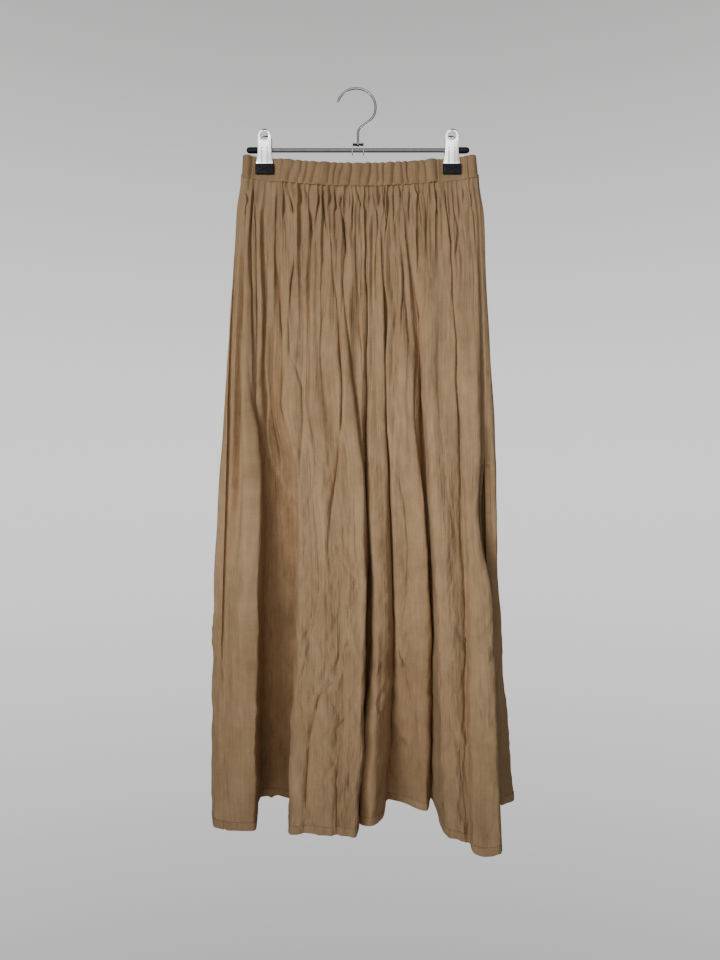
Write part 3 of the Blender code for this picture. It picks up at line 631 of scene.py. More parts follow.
BACK_WIDTH = 811
BACK_FOLDS = (
    # name, x at the five levels, y at the five levels, how far the hem hangs low
    ("left_front", -182.5, -199.5, -201.5, -206.5, -210, -1, -13, -17, -25, -74, 0),
    ("left_side", -180, -206.5, -214.5, -223.5, -226, 4, -3, -5, -7, -10, 0),
    ("fold_1", -164, -194, -200, -206, -206, 6, 20, 23, 27, 31, 0),
    ("valley_1", -148, -176, -179.2, -183.6, -184.2, 6, 10, 11, 12, 14, 0),
    ("fold_2", -128, -156.6, -157.4, -157.2, -156, 6, 18.4, 20.5, 24.7, 29.6, 2),
    ("valley_2", -109, -138.5, -141.7, -143.6, -138.7, 6, 11.2, 12.8, 14.7, 17, 0),
    ("fold_3", -91, -120, -121.5, -122, -119, 6, 18.8, 22.5, 28.8, 37.5, 4),
    ("valley_3", -75, -95, -93.4, -91.2, -90.4, 6, 9.2, 9.8, 10.2, 12, 0),
    ("fold_4", -53, -74.2, -72.3, -67.4, -63, 6, 17.4, 19.9, 24.3, 28.6, -1),
    ("valley_4", -36, -57, -57.6, -54.8, -46.6, 6, 12.4, 14.6, 17.4, 21, 0),
    ("fold_5", -20, -39.4, -39.6, -35.8, -26, 6, 19.6, 23.2, 30.4, 38.8, 3),
    ("valley_5", -4, -15.5, -13.3, -7.4, 2.7, 6, 10, 11, 12, 14, 0),
    ("fold_6", 13, 5, 7.5, 15, 27, 6, 19.4, 22.8, 28.7, 34.6, -3),
    ("valley_6", 31, 19.5, 18.5, 24, 39.5, 6, 12, 14, 16.5, 19, 0),
    ("fold_7", 47, 40.2, 41.3, 47.4, 64, 6, 19.1, 23, 29.5, 39.9, 5),
    ("valley_7", 63, 63, 66.6, 75.8, 91.6, 6, 9.2, 9.8, 10.2, 12, 0),
    ("fold_8", 81, 85.4, 88.6, 98.8, 116, 6, 16.6, 19, 22.6, 26.8, 0),
    ("valley_8", 98, 101.5, 103.3, 111.4, 131.3, 6, 12.8, 15.2, 18.3, 21, 0),
    ("fold_9", 114, 120.6, 123.4, 131.2, 154, 6, 18, 21.5, 28.4, 37.6, 2),
    ("valley_9", 130, 146, 151.6, 161.8, 183.6, 6, 10, 11, 12, 15, 0),
    ("fold_10", 148, 166.2, 171.8, 181.4, 205, 6, 18, 20.4, 25.2, 30.8, 0),
    ("valley_10", 163, 184, 189, 199, 222, 6, 10.8, 12.2, 14.8, 19, 0),
    ("right_back", 178, 203, 207, 215, 235, 6, 12, 13, 15, 22, -3),
    ("right_side", 189, 208, 210, 217, 239.5, 0.5, -5, -9, -13, 0, -3),
)
BACK_FOLD_LINES = (
    ((-148, -160, 2.4, 3), (-160, -400, 2.8, 5), (-180, -700, 3.6, 5), (-184, -900, 4, 3),
     (-186, -1130, 4.4, 2)),
    ((-110, -150, 2.4, 3), (-133, -380, 2.8, 6), (-138, -650, 3.6, 6), (-136, -1130, 4.4, 3)),
    ((-75, -150, 2.4, 3), (-90, -360, 2.8, 6), (-97, -640, 3.6, 5), (-94, -1130, 4.4, 3)),
    ((-36, -150, 2.4, 3), (-50, -370, 2.8, 7), (-52, -640, 3.6, 6), (-43, -1130, 4.4, 3)),
    ((-4, -150, 2.4, 3), (-12, -350, 2.8, 6), (-11, -640, 3.6, 5), (0, -1130, 4.4, 3)),
    ((31, -150, 2.4, 3), (24, -390, 2.8, 7), (30, -640, 3.6, 6), (44, -1130, 4.4, 3)),
    ((63, -150, 2.4, 3), (62, -350, 2.8, 5), (71, -640, 3.6, 5), (88, -1130, 4.4, 3)),
    ((98, -150, 2.4, 3), (103, -380, 2.8, 6), (115, -640, 3.6, 6), (134, -1130, 4.4, 3)),
    ((130, -150, 2.4, 3), (142, -360, 2.8, 6), (157, -640, 3.6, 5), (180, -1130, 4.4, 3)),
    ((163, -150, 2.4, 3), (182, -380, 2.8, 5), (199, -640, 3.6, 5), (222, -1130, 4.4, 2)),
)
BACK_CREASES = (
    (-150, -150, -158, -330, 3.0, 3.0), (-118, -152, -122, -420, 3.2, 3.0),
    (-84, -150, -88, -300, 2.8, 2.6), (-40, -152, -45, -380, 3.2, 3.4), (-6, -150, -10, -290, 2.6, 2.6),
    (27, -150, 24, -440, 3.4, 3.2), (58, -150, 60, -300, 2.6, 2.6), (92, -150, 98, -360, 3.0, 3.0),
    (121, -152, 130, -410, 3.2, 2.8), (160, -150, 170, -300, 2.8, 2.8),
    (-190, -560, -150, -600, 5.0, 1.8), (-120, -700, -70, -735, 5.4, 1.8),
    (-60, -540, -20, -515, 4.6, 1.8), (-10, -780, 40, -812, 5.4, 2.0), (60, -620, 100, -590, 4.6, 1.8),
    (110, -760, 170, -800, 5.2, 2.0), (150, -560, 190, -535, 4.6, 1.8),
    (-200, -900, -150, -930, 5.4, 2.0), (-100, -960, -50, -930, 5.0, 2.0),
    (10, -990, 60, -1020, 5.0, 2.0), (130, -960, 200, -930, 5.4, 2.0),
)

back_grid = cloth_sheet("back", BACK_FOLDS, BACK_FOLD_LINES, BACK_CREASES, 143)
back_cloth = sheet_mesh("back_panel_cloth", back_grid, 1, BACK_WIDTH)
back_cloth.data.materials.append(LINEN)
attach(back_cloth, "root")
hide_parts("back_panel")


# Hems: the bottom edge of each panel, and its two edges along the slit, are turned twice to the
# inside and stitched down in a row, which leaves a flat, slightly thicker border.

HEM_WIDTH = 11.0
SLIT_HEM_WIDTH = 8.0
SLIT_HEM_TOP = -583


def turned_hem(name, edge, inward, outs, width, lift=0.75):
    """A flat closed border along an edge line, reaching inward over the cloth, its rim rounded."""
    profile = ((0.0, 0.2), (-0.06, 0.75), (0.06, 1.0), (0.5, 1.0), (0.92, 0.9), (1.0, 0.35),
               (1.0, -0.35), (0.92, -0.9), (0.5, -1.0), (0.06, -1.0), (-0.06, -0.75), (0.0, -0.2))
    verts, faces = [], []
    n = len(profile)
    for base, reach, out in zip(edge, inward, outs):
        for along, thick in profile:
            verts.append((base + (reach - base) * along + out * lift * thick) / 1000)
    for k in range(len(edge) - 1):
        for j in range(n):
            m = (j + 1) % n
            faces.append((k * n + j, k * n + m, (k + 1) * n + m, (k + 1) * n + j))
    last = (len(edge) - 1) * n
    faces.append(tuple(range(n))[::-1])
    faces.append(tuple(range(last, last + n)))
    mesh = bpy.data.meshes.new(name)
    mesh.from_pydata([tuple(v) for v in verts], [], faces)
    body = bmesh.new()
    body.from_mesh(mesh)
    bmesh.ops.recalc_face_normals(body, faces=body.faces[:])
    uv = body.loops.layers.uv.new("cloth")
    for face in body.faces:
        for loop in face.loops:
            k, j = divmod(loop.vert.index, n)
            loop[uv].uv = (k * 0.0018, (profile[j][0] + 0.2 * profile[j][1]) * width / 1000)
        face.smooth = len(face.verts) == 4
    body.to_mesh(mesh)
    body.free()
    ob = bpy.data.objects.new(name, mesh)
    bpy.context.scene.collection.objects.link(ob)
    ob.data.materials.append(LINEN)
    return ob


def sheet_normals(grid, outward):
    """The way each point of a sheet faces."""
    down = np.gradient(grid, axis=0)
    across = np.gradient(grid, axis=1)
    normal = np.cross(across, down)
    normal /= np.maximum(1e-9, np.linalg.norm(normal, axis=2))[:, :, None]
    if np.mean(normal[:, :, 1]) * outward < 0:
        normal = -normal
    return normal


def stitch_tree():
    """Stitches of one length laid head to tail along a line, each a low rounded bar of thread."""
    tree = bpy.data.node_groups.new("thread_stitches", "GeometryNodeTree")
    face = tree.interface
    face.new_socket("Geometry", in_out="INPUT", socket_type="NodeSocketGeometry")
    for label, value in (("Pitch", 0.0027), ("Stitch length", 0.0021), ("Thread radius", 0.00028)):
        face.new_socket(label, in_out="INPUT", socket_type="NodeSocketFloat").default_value = value
    face.new_socket("Thread", in_out="INPUT", socket_type="NodeSocketMaterial")
    face.new_socket("Geometry", in_out="OUTPUT", socket_type="NodeSocketGeometry")
    nodes, links = tree.nodes, tree.links
    given = nodes.new("NodeGroupInput")
    result = nodes.new("NodeGroupOutput")
    curve = nodes.new("GeometryNodeMeshToCurve")
    resample = nodes.new("GeometryNodeResampleCurve")
    resample.mode = "LENGTH"
    stitch = nodes.new("GeometryNodeMeshUVSphere")
    stitch.inputs["Segments"].default_value = 6
    stitch.inputs["Rings"].default_value = 4
    stitch.inputs["Radius"].default_value = 1.0
    half = nodes.new("ShaderNodeMath")
    half.operation = "MULTIPLY"
    half.inputs[1].default_value = 0.5
    size = nodes.new("ShaderNodeCombineXYZ")
    shape = nodes.new("GeometryNodeTransform")
    tangent = nodes.new("GeometryNodeInputTangent")
    turn = nodes.new("FunctionNodeAlignEulerToVector")
    turn.axis = "Z"
    placed = nodes.new("GeometryNodeInstanceOnPoints")
    real = nodes.new("GeometryNodeRealizeInstances")
    painted = nodes.new("GeometryNodeSetMaterial")
    links.new(given.outputs["Geometry"], curve.inputs["Mesh"])
    links.new(curve.outputs["Curve"], resample.inputs["Curve"])
    links.new(given.outputs["Pitch"], resample.inputs["Length"])
    links.new(given.outputs["Stitch length"], half.inputs[0])
    links.new(given.outputs["Thread radius"], size.inputs["X"])
    links.new(given.outputs["Thread radius"], size.inputs["Y"])
    links.new(half.outputs[0], size.inputs["Z"])
    links.new(stitch.outputs["Mesh"], shape.inputs["Geometry"])
    links.new(size.outputs["Vector"], shape.inputs["Scale"])
    links.new(tangent.outputs["Tangent"], turn.inputs["Vector"])
    links.new(resample.outputs["Curve"], placed.inputs["Points"])
    links.new(shape.outputs["Geometry"], placed.inputs["Instance"])
    links.new(turn.outputs["Rotation"], placed.inputs["Rotation"])
    links.new(placed.outputs["Instances"], real.inputs["Geometry"])
    links.new(real.outputs["Geometry"], painted.inputs["Geometry"])
    links.new(given.outputs["Thread"], painted.inputs["Material"])
    links.new(painted.outputs["Geometry"], result.inputs["Geometry"])
    return tree


def thread_material():
    """Sewing thread in the tone of the linen, with painted light and shade in its colour for the way its
    twisted plies catch the light.
    """
    mat, nodes, links, shader = new_material("sewing_thread")
    coords = nodes.new("ShaderNodeTexCoord").outputs["Object"]
    # Painted light and shade: noise between a darker and a lighter thread tone stands for the shading of
    # the twisted plies.
    painted_twist_shade = stretched_noise(nodes, links, coords, 900, 900, 2.0, "painted_twist_shade")
    ramp = nodes.new("ShaderNodeValToRGB")
    ramp.color_ramp.elements[0].color = (0.27, 0.175, 0.088, 1)
    ramp.color_ramp.elements[1].color = (0.42, 0.285, 0.155, 1)
    links.new(painted_twist_shade, ramp.inputs["Fac"])
    links.new(ramp.outputs["Color"], shader.inputs["Base Color"])
    shader.inputs["Roughness"].default_value = 0.6
    return mat


THREAD = thread_material()
STITCHES = stitch_tree()


def plain_copy(ob, name):
    """The object's evaluated shape as a plain mesh in its place."""
    graph = bpy.context.evaluated_depsgraph_get()
    mesh = bpy.data.meshes.new_from_object(ob.evaluated_get(graph))
    mesh.name = name
    bpy.data.objects.remove(ob, do_unlink=True)
    made = bpy.data.objects.new(name, mesh)
    bpy.context.scene.collection.objects.link(made)
    return made


def set_inputs(modifier, values):
    """Gives a Geometry Nodes step its sizes by the names of its inputs."""
    for item in modifier.node_group.interface.items_tree:
        if item.item_type == "SOCKET" and item.in_out == "INPUT" and item.name in values:
            modifier[item.identifier] = values[item.name]


def stitch_row(name, line, pitch=2.7, length=2.1, radius=0.28):
    """A row of stitches along a line of points, as a plain mesh."""
    mesh = bpy.data.meshes.new(name + "_line")
    mesh.from_pydata([tuple(p / 1000) for p in line], [(k, k + 1) for k in range(len(line) - 1)], [])
    ob = bpy.data.objects.new(name + "_line", mesh)
    bpy.context.scene.collection.objects.link(ob)
    step = ob.modifiers.new("stitches", "NODES")
    step.node_group = STITCHES
    set_inputs(step, {"Pitch": pitch / 1000, "Stitch length": length / 1000, "Thread radius": radius / 1000,
                      "Thread": THREAD})
    return plain_copy(ob, name)


def hem_of(panel, grid, outward):
    """The bottom border of a panel and its row of stitches."""
    normal = sheet_normals(grid, outward)
    edge, edge_out = grid[-1], normal[-2]
    upper = grid[-3]
    length = np.linalg.norm(upper - edge, axis=1)[:, None]
    reach = edge + (upper - edge) / length * HEM_WIDTH
    hem = turned_hem(panel + "_hem", edge, reach, edge_out, HEM_WIDTH)
    line = edge + (reach - edge) * 0.9 + edge_out * 0.85
    return hem, stitch_row(panel + "_hem_stitches", line[2:-2])


def slit_hem_of(panel, grid, outward):
    """The border along a panel's free edge below the slit's top, and its stitches."""
    normal = sheet_normals(grid, outward)
    heights = grid[:, -1, 2]
    start = int(np.searchsorted(-heights, -SLIT_HEM_TOP))
    edge, out = grid[start:, -1], normal[start:, -3]
    inner = grid[start:, -6]
    length = np.linalg.norm(inner - edge, axis=1)[:, None]
    reach = edge + (inner - edge) / np.maximum(1e-6, length) * SLIT_HEM_WIDTH
    hem = turned_hem(panel + "_slit_hem", edge, reach, out, SLIT_HEM_WIDTH, 0.6)
    line = edge + (reach - edge) * 0.86 + out * 0.7
    return hem, stitch_row(panel + "_slit_stitches", line[2:-2])


front_hem, front_hem_stitches = hem_of("front", front_grid, -1)
back_hem, back_hem_stitches = hem_of("back", back_grid, 1)
front_slit, front_slit_stitches = slit_hem_of("front", front_grid, -1)
back_slit, back_slit_stitches = slit_hem_of("back", back_grid, 1)
for piece in (front_hem, back_hem, front_slit, back_slit, front_hem_stitches, back_hem_stitches,
              front_slit_stitches, back_slit_stitches):
    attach(piece, "root")


# Waistband: a strip of the same linen folded over a wide elastic, which draws it into upright puffs
# that lean a little. Its lower edge holds the gathered panels, and the grips press it flat.

PUFFS = 28
# x, how far the top of a puff leans to the right of its foot there
LEAN = ((-190, 3.0), (-120, 9.0), (-60, 9.0), (0, 6.0), (60, 2.0), (120, -1.0), (190, -2.0))
BAND_COLUMNS = 504
# The band's two ends at the seam, which draw in a little towards the top
BAND_ENDS = (-181.2, 187.6)
CLOTH_INSET = 2.4


def band_sheet(way, seed):
    """Rows of points over the band's outside, its rolled top and its inside, in millimetres."""
    chance = np.random.default_rng(seed)
    valleys = np.arange(1, PUFFS) + chance.uniform(-0.34, 0.34, PUFFS - 1)
    place = np.sort(np.concatenate([[0, PUFFS], valleys]))
    full = chance.uniform(0.6, 1.25, PUFFS)
    u = np.linspace(0, 1, BAND_COLUMNS + 1)
    ends = np.sin(np.pi * u)
    # how far round the casing: outside from the seam up, over the top, and down the inside
    outside = [(v, 1.0) for v in
               (0.0, 0.03, 0.08, 0.15, 0.25, 0.37, 0.5, 0.63, 0.75, 0.85, 0.92, 0.965, 0.99)]
    roll = [(1.0, 0.92), (1.006, 0.72), (1.008, 0.5), (1.006, 0.28), (1.0, 0.08)]
    inside = [(v, 0.0) for v in (0.98, 0.94, 0.86, 0.75, 0.6, 0.45, 0.3, 0.15, 0.06, 0.0)]
    rows = []
    for v, outer in outside + roll + inside:
        x0 = BAND_ENDS[0] + 1.6 * min(1, v)
        x1 = BAND_ENDS[1] - 3.6 * min(1, v)
        lean = np.interp(-181 + 368 * u, *zip(*LEAN))
        x = x0 + (x1 - x0) * u + (v - 0.5) * lean * np.minimum(1.0, ends * 2.2)
        flat = pressed(x)
        gap = 1.7 + 2.6 * (1 - flat)
        bend = 0.07 * np.sin(v * 4 + u * 61) + 0.04 * np.sin(v * 9 + u * 23)
        phase = np.interp(u * PUFFS + bend * np.minimum(1, ends * 6), place, np.arange(PUFFS + 1.0))
        number = np.clip(phase.astype(int), 0, PUFFS - 1)
        crest = np.abs(np.sin(np.pi * phase)) ** 0.75
        height = crest * full[number] * (1 - flat) * np.minimum(1.0, ends * 8)
        height = height * 4.6 * (1 - 0.7 * (2 * min(1, v) - 1) ** 8)
        fine = 0.16 * ripple(x / 2.2, v * 3.0 + 0 * x, seed + 5) * (1 - flat)
        end = np.minimum(x - x0, x1 - x)
        wall = gap + CLOTH_INSET
        side_out = np.sqrt(np.maximum(0.0, 1 - (1 - np.minimum(1.0, end / wall)) ** 2))
        inner_end = np.maximum(0.0, end - CLOTH_INSET)
        side_in = np.sqrt(np.maximum(0.0, 1 - (1 - np.minimum(1.0, inner_end / gap)) ** 2))
        y_out = 0.15 + (wall - 0.35) * side_out + height + fine - 0.3
        y_in = 0.15 + (gap - 0.15) * side_in
        y = way * (y_in + (y_out - y_in) * outer)
        z = waist_seam(x) + (waist_top(x) - waist_seam(x)) * v
        z = z + 0.5 * height * smooth(0.8, 1.0, v) - 0.35 * (1 - crest) * smooth(0.8, 1.0, v) * (1 - flat)
        if outer == 0.0:
            x = np.clip(x, x0 + CLOTH_INSET, x1 - CLOTH_INSET)
        rows.append(np.stack([x, y, z], axis=1))
    return np.array(rows)


def band_piece(name, way, seed):
    """One half of the waistband as a closed casing."""
    grid = band_sheet(way, seed)
    rows, columns = grid.shape[:2]
    verts = (grid.reshape(-1, 3) / 1000).tolist()
    faces = []
    for r in range(rows):
        s = (r + 1) % rows
        for c in range(columns - 1):
            faces.append((r * columns + c, r * columns + c + 1, s * columns + c + 1, s * columns + c))
    faces.append([r * columns for r in range(rows)])
    faces.append([r * columns + columns - 1 for r in range(rows)])
    mesh = bpy.data.meshes.new(name)
    mesh.from_pydata(verts, [], faces)
    body = bmesh.new()
    body.from_mesh(mesh)
    bmesh.ops.recalc_face_normals(body, faces=body.faces[:])
    uv = body.loops.layers.uv.new("cloth")
    for face in body.faces:
        for loop in face.loops:
            r, c = divmod(loop.vert.index, columns)
            loop[uv].uv = (c * 0.00086, r * 0.0028)
        face.smooth = len(face.verts) == 4
    body.to_mesh(mesh)
    body.free()
    ob = bpy.data.objects.new(name, mesh)
    bpy.context.scene.collection.objects.link(ob)
    ob.data.materials.append(BAND_LINEN)
    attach(ob, "root")
    return ob


BAND_LINEN = linen_material("band_linen", (0.465, 0.286, 0.138), (0.270, 0.158, 0.070), 0.0005)
band_front = band_piece("waistband_front_cloth", -1, 5)
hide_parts("waistband_front")
band_back = band_piece("waistband_back_cloth", 1, 6)
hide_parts("waistband_back")


# Hook of the hanger: one bent round rod of plated steel, its open end rounded off and its foot
# headed over inside the small bent strip that rides on the bar.

HOOK_CENTRE = (-2.6, -28.2)
HOOK_RADIUS = 29.95
HOOK_ROD = 1.75
# The sweep from the bend down to the strip, as (x, z)
HOOK_SWEEP = ((20.0, -46.5), (12.5, -52.8), (6.0, -57.4), (1.9, -61.6), (0.2, -66.5), (0.0, -72.0),
              (0.0, -82.0))
# The rounded end: how far past the bend's start, radius. The headed foot: height, radius
HOOK_END = ((1.6, 0.5), (1.2, 1.2), (0.5, 1.65))
HOOK_FOOT = ((-86.3, 1.75), (-86.5, 2.4), (-86.7, 3.0), (-87.5, 3.0), (-87.9, 2.5), (-88.2, 1.2))


def steel_material(name, tone, rough, brushed):
    """Plated steel of one tone, slightly clouded and finely rubbed."""
    mat, nodes, links, shader = new_material(name)
    coords = nodes.new("ShaderNodeTexCoord").outputs["Object"]
    grain = stretched_noise(nodes, links, coords, 60, 60, 3.0, "plating cloud")
    rub = stretched_noise(nodes, links, coords, brushed, brushed, 4.0, "fine rubbing")
    ramp = nodes.new("ShaderNodeValToRGB")
    ramp.color_ramp.elements[0].color = (tone * 0.86, tone * 0.87, tone * 0.9, 1)
    ramp.color_ramp.elements[1].color = (tone, tone, tone, 1)
    links.new(grain, ramp.inputs["Fac"])
    links.new(ramp.outputs["Color"], shader.inputs["Base Color"])
    rub_ramp = nodes.new("ShaderNodeMapRange")
    rub_ramp.inputs["To Min"].default_value = rough * 0.8
    rub_ramp.inputs["To Max"].default_value = rough * 1.3
    links.new(rub, rub_ramp.inputs["Value"])
    links.new(rub_ramp.outputs["Result"], shader.inputs["Roughness"])
    bump = nodes.new("ShaderNodeBump")
    bump.inputs["Distance"].default_value = 0.00002
    links.new(rub, bump.inputs["Height"])
    links.new(bump.outputs["Normal"], shader.inputs["Normal"])
    shader.inputs["Metallic"].default_value = 1.0
    return mat


CHROME = steel_material("bright_plating", 0.80, 0.14, 700)
HOOK_STEEL = steel_material("hook_plating", 0.26, 0.26, 600)
BAR_STEEL = steel_material("bar_plating", 0.19, 0.62, 500)


def rod(name, path, sides=24):
    """A round rod along (x, z, radius) points in the hanger's plane, its ends closed."""
    verts, faces = [], []
    for k, (x, z, radius) in enumerate(path):
        x0, z0, _ = path[max(0, k - 1)]
        x1, z1, _ = path[min(len(path) - 1, k + 1)]
        way = Vector((x1 - x0, z1 - z0)).normalized()
        for s in range(sides):
            a = 2 * math.pi * s / sides
            off = radius * math.cos(a)
            verts.append(((x - way.y * off) / 1000, radius * math.sin(a) / 1000, (z + way.x * off) / 1000))
    for k in range(len(path) - 1):
        for s in range(sides):
            m = (s + 1) % sides
            faces.append((k * sides + s, k * sides + m, (k + 1) * sides + m, (k + 1) * sides + s))
    faces.append(tuple(range(sides)))
    last = (len(path) - 1) * sides
    faces.append(tuple(range(last + sides - 1, last - 1, -1)))
    return closed_piece(name, verts, faces)


def closed_piece(name, verts, faces, flat_over=math.radians(40)):
    """A closed body facing outwards, with its edges sharp where they turn more than an angle."""
    mesh = bpy.data.meshes.new(name)
    mesh.from_pydata([tuple(v) for v in verts], [], faces)
    body = bmesh.new()
    body.from_mesh(mesh)
    bmesh.ops.remove_doubles(body, verts=body.verts[:], dist=1e-7)
    bmesh.ops.recalc_face_normals(body, faces=body.faces[:])
    if body.calc_volume(signed=True) < 0:
        bmesh.ops.reverse_faces(body, faces=body.faces[:])
    for edge in body.edges:
        edge.smooth = len(edge.link_faces) == 2 and edge.calc_face_angle(0) < flat_over
    for face in body.faces:
        face.smooth = True
    body.to_mesh(mesh)
    body.free()
    ob = bpy.data.objects.new(name, mesh)
    bpy.context.scene.collection.objects.link(ob)
    return ob


def hook_line():
    """(x, z, radius) points from the hook's open end round its bend and down to its headed foot."""
    line = []
    for k in range(81):
        a = math.radians(161 - k * 2.325)
        line.append(Vector((HOOK_CENTRE[0] + HOOK_RADIUS * math.cos(a),
                            HOOK_CENTRE[1] + HOOK_RADIUS * math.sin(a))))
    corners = [line[-1]] + [Vector(p) for p in HOOK_SWEEP]
    before = [line[-4]] + corners[:-1]
    for k in range(len(corners) - 1):
        p0, p1, p2 = before[k], corners[k], corners[k + 1]
        p3 = corners[min(k + 2, len(corners) - 1)]
        for step in range(1, 7):
            u = step / 6
            line.append(0.5 * (2 * p1 + (p2 - p0) * u + (2 * p0 - 5 * p1 + 4 * p2 - p3) * u * u
                               + (3 * p1 - p0 - 3 * p2 + p3) * u**3))
    first = (line[0] - line[1]).normalized()
    path = [(line[0].x + first.x * out, line[0].y + first.y * out, radius) for out, radius in HOOK_END]
    path += [(p.x, p.y, HOOK_ROD) for p in line]
    path += [(0.0, z, radius) for z, radius in HOOK_FOOT]
    return path


hook = rod("hook_rod", hook_line())
hook.data.materials.append(HOOK_STEEL)
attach(hook, "root")
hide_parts("hanger_hook")


# Strip at the middle of the bar: flat steel bent over it, the hook's foot through its top and the
# bar through its two legs.

def dressed_node(name, node, mat, bevel):
    """A CAD solid's own form with its points merged and its edges slightly rounded."""
    mesh = frame["nodes"][node].data.copy()
    mesh.name = name
    mesh.materials.clear()
    body = bmesh.new()
    body.from_mesh(mesh)
    bmesh.ops.remove_doubles(body, verts=body.verts[:], dist=1e-6)
    bmesh.ops.dissolve_limit(body, angle_limit=0.01, verts=body.verts[:], edges=body.edges[:])
    bmesh.ops.recalc_face_normals(body, faces=body.faces[:])
    for face in body.faces:
        face.smooth = True
    body.to_mesh(mesh)
    body.free()
    mesh.materials.append(mat)
    ob = bpy.data.objects.new(name, mesh)
    bpy.context.scene.collection.objects.link(ob)
    step = ob.modifiers.new("rounded edges", "BEVEL")
    step.width = bevel / 1000
    step.segments = 2
    step.limit_method = "ANGLE"
    step.angle_limit = math.radians(35)
    step.harden_normals = True
    made = plain_copy(ob, name)
    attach(made, "root")
    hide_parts(node)
    return made


dressed_node("bar_strip", "hook_stirrup", HOOK_STEEL, 0.25)


# Bar: a straight round tube of dull plated steel, which carries the strip and the two grips. A
# moulded cap of black rubber is pushed on each of its ends.

BAR_HEIGHT = -95.0
BAR_PROFILE = ((-166.0, 0.0), (-166.0, 2.8), (-165.6, 3.15), (165.6, 3.15), (166.0, 2.8), (166.0, 0.0))
CAP_PROFILE = ((156.2, 3.3), (156.2, 4.2), (156.45, 4.6), (156.9, 4.75), (168.0, 4.75), (169.8, 4.55),
               (171.4, 4.1), (172.5, 3.3), (173.2, 2.2), (173.6, 0.9), (173.6, 0.0), (166.4, 0.0),
               (166.4, 3.3))


def turned_piece(name, centre, profile, axis="X", steps=40):
    """A closed body turned about X or Y from (along, radius) points."""
    verts, faces = [], []
    n = len(profile)
    for i in range(steps):
        a = 2 * math.pi * i / steps
        for along, radius in profile:
            u, v = radius * math.cos(a), radius * math.sin(a)
            place = (along, u, v) if axis == "X" else (u, along, v)
            verts.append(tuple((c + p) / 1000 for c, p in zip(centre, place)))
        for j in range(n):
            k, m = (j + 1) % n, (i + 1) % steps
            faces.append((i * n + j, i * n + k, m * n + k, m * n + j))
    return closed_piece(name, verts, faces)


def rubber_material():
    """Black moulded rubber, a little dusty, with a fine grain."""
    mat, nodes, links, shader = new_material("black_rubber")
    coords = nodes.new("ShaderNodeTexCoord").outputs["Object"]
    cloud = stretched_noise(nodes, links, coords, 220, 220, 3.0, "dust and handling")
    ramp = nodes.new("ShaderNodeValToRGB")
    ramp.color_ramp.elements[0].color = (0.006, 0.006, 0.0065, 1)
    ramp.color_ramp.elements[1].color = (0.017, 0.017, 0.018, 1)
    links.new(cloud, ramp.inputs["Fac"])
    links.new(ramp.outputs["Color"], shader.inputs["Base Color"])
    bump = nodes.new("ShaderNodeBump")
    bump.inputs["Distance"].default_value = 0.00005
    grain = stretched_noise(nodes, links, coords, 1800, 1800, 2.0, "moulded grain")
    links.new(grain, bump.inputs["Height"])
    links.new(bump.outputs["Normal"], shader.inputs["Normal"])
    shader.inputs["Roughness"].default_value = 0.5
    shader.inputs["Specular IOR Level"].default_value = 0.12
    return mat


RUBBER = rubber_material()
bar = turned_piece("bar_tube", (0, 0, BAR_HEIGHT), BAR_PROFILE)
bar.data.materials.append(BAR_STEEL)
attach(bar, "root")
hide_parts("hanger_bar")

for side, name in ((-1, "left"), (1, "right")):
    cap = turned_piece("cap_" + name, (0, 0, BAR_HEIGHT), [(side * a, r) for a, r in CAP_PROFILE])
    cap.data.materials.append(RUBBER)
    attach(cap, "root")
    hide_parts("end_cap_" + name)


# Grips: two stamped plates each, hinged on the bar and pushed together by a coil spring, with a
# moulded black boot on each jaw.

RIB_OFFSET = 4.4
RIB_HALF_WIDTH = 1.15
RIB_HEIGHT = 1.05
# The dots on the front plates are painted shade: small buttons of darker steel stand for the shade in the
# plate's dimples.
DOT_PROFILE = ((0.3, 0.0), (0.3, 1.1), (0.0, 1.15), (-0.32, 1.0), (-0.42, 0.7), (-0.3, 0.0))
# The boot's face: the middle of its crossed ridges, their half length and rise, and its own depth
BOOT_MIDDLE = -126.7
RIDGE_REACH = 9.5
RIDGE_RISE = 4.2
BOOT_FACE = -8.6


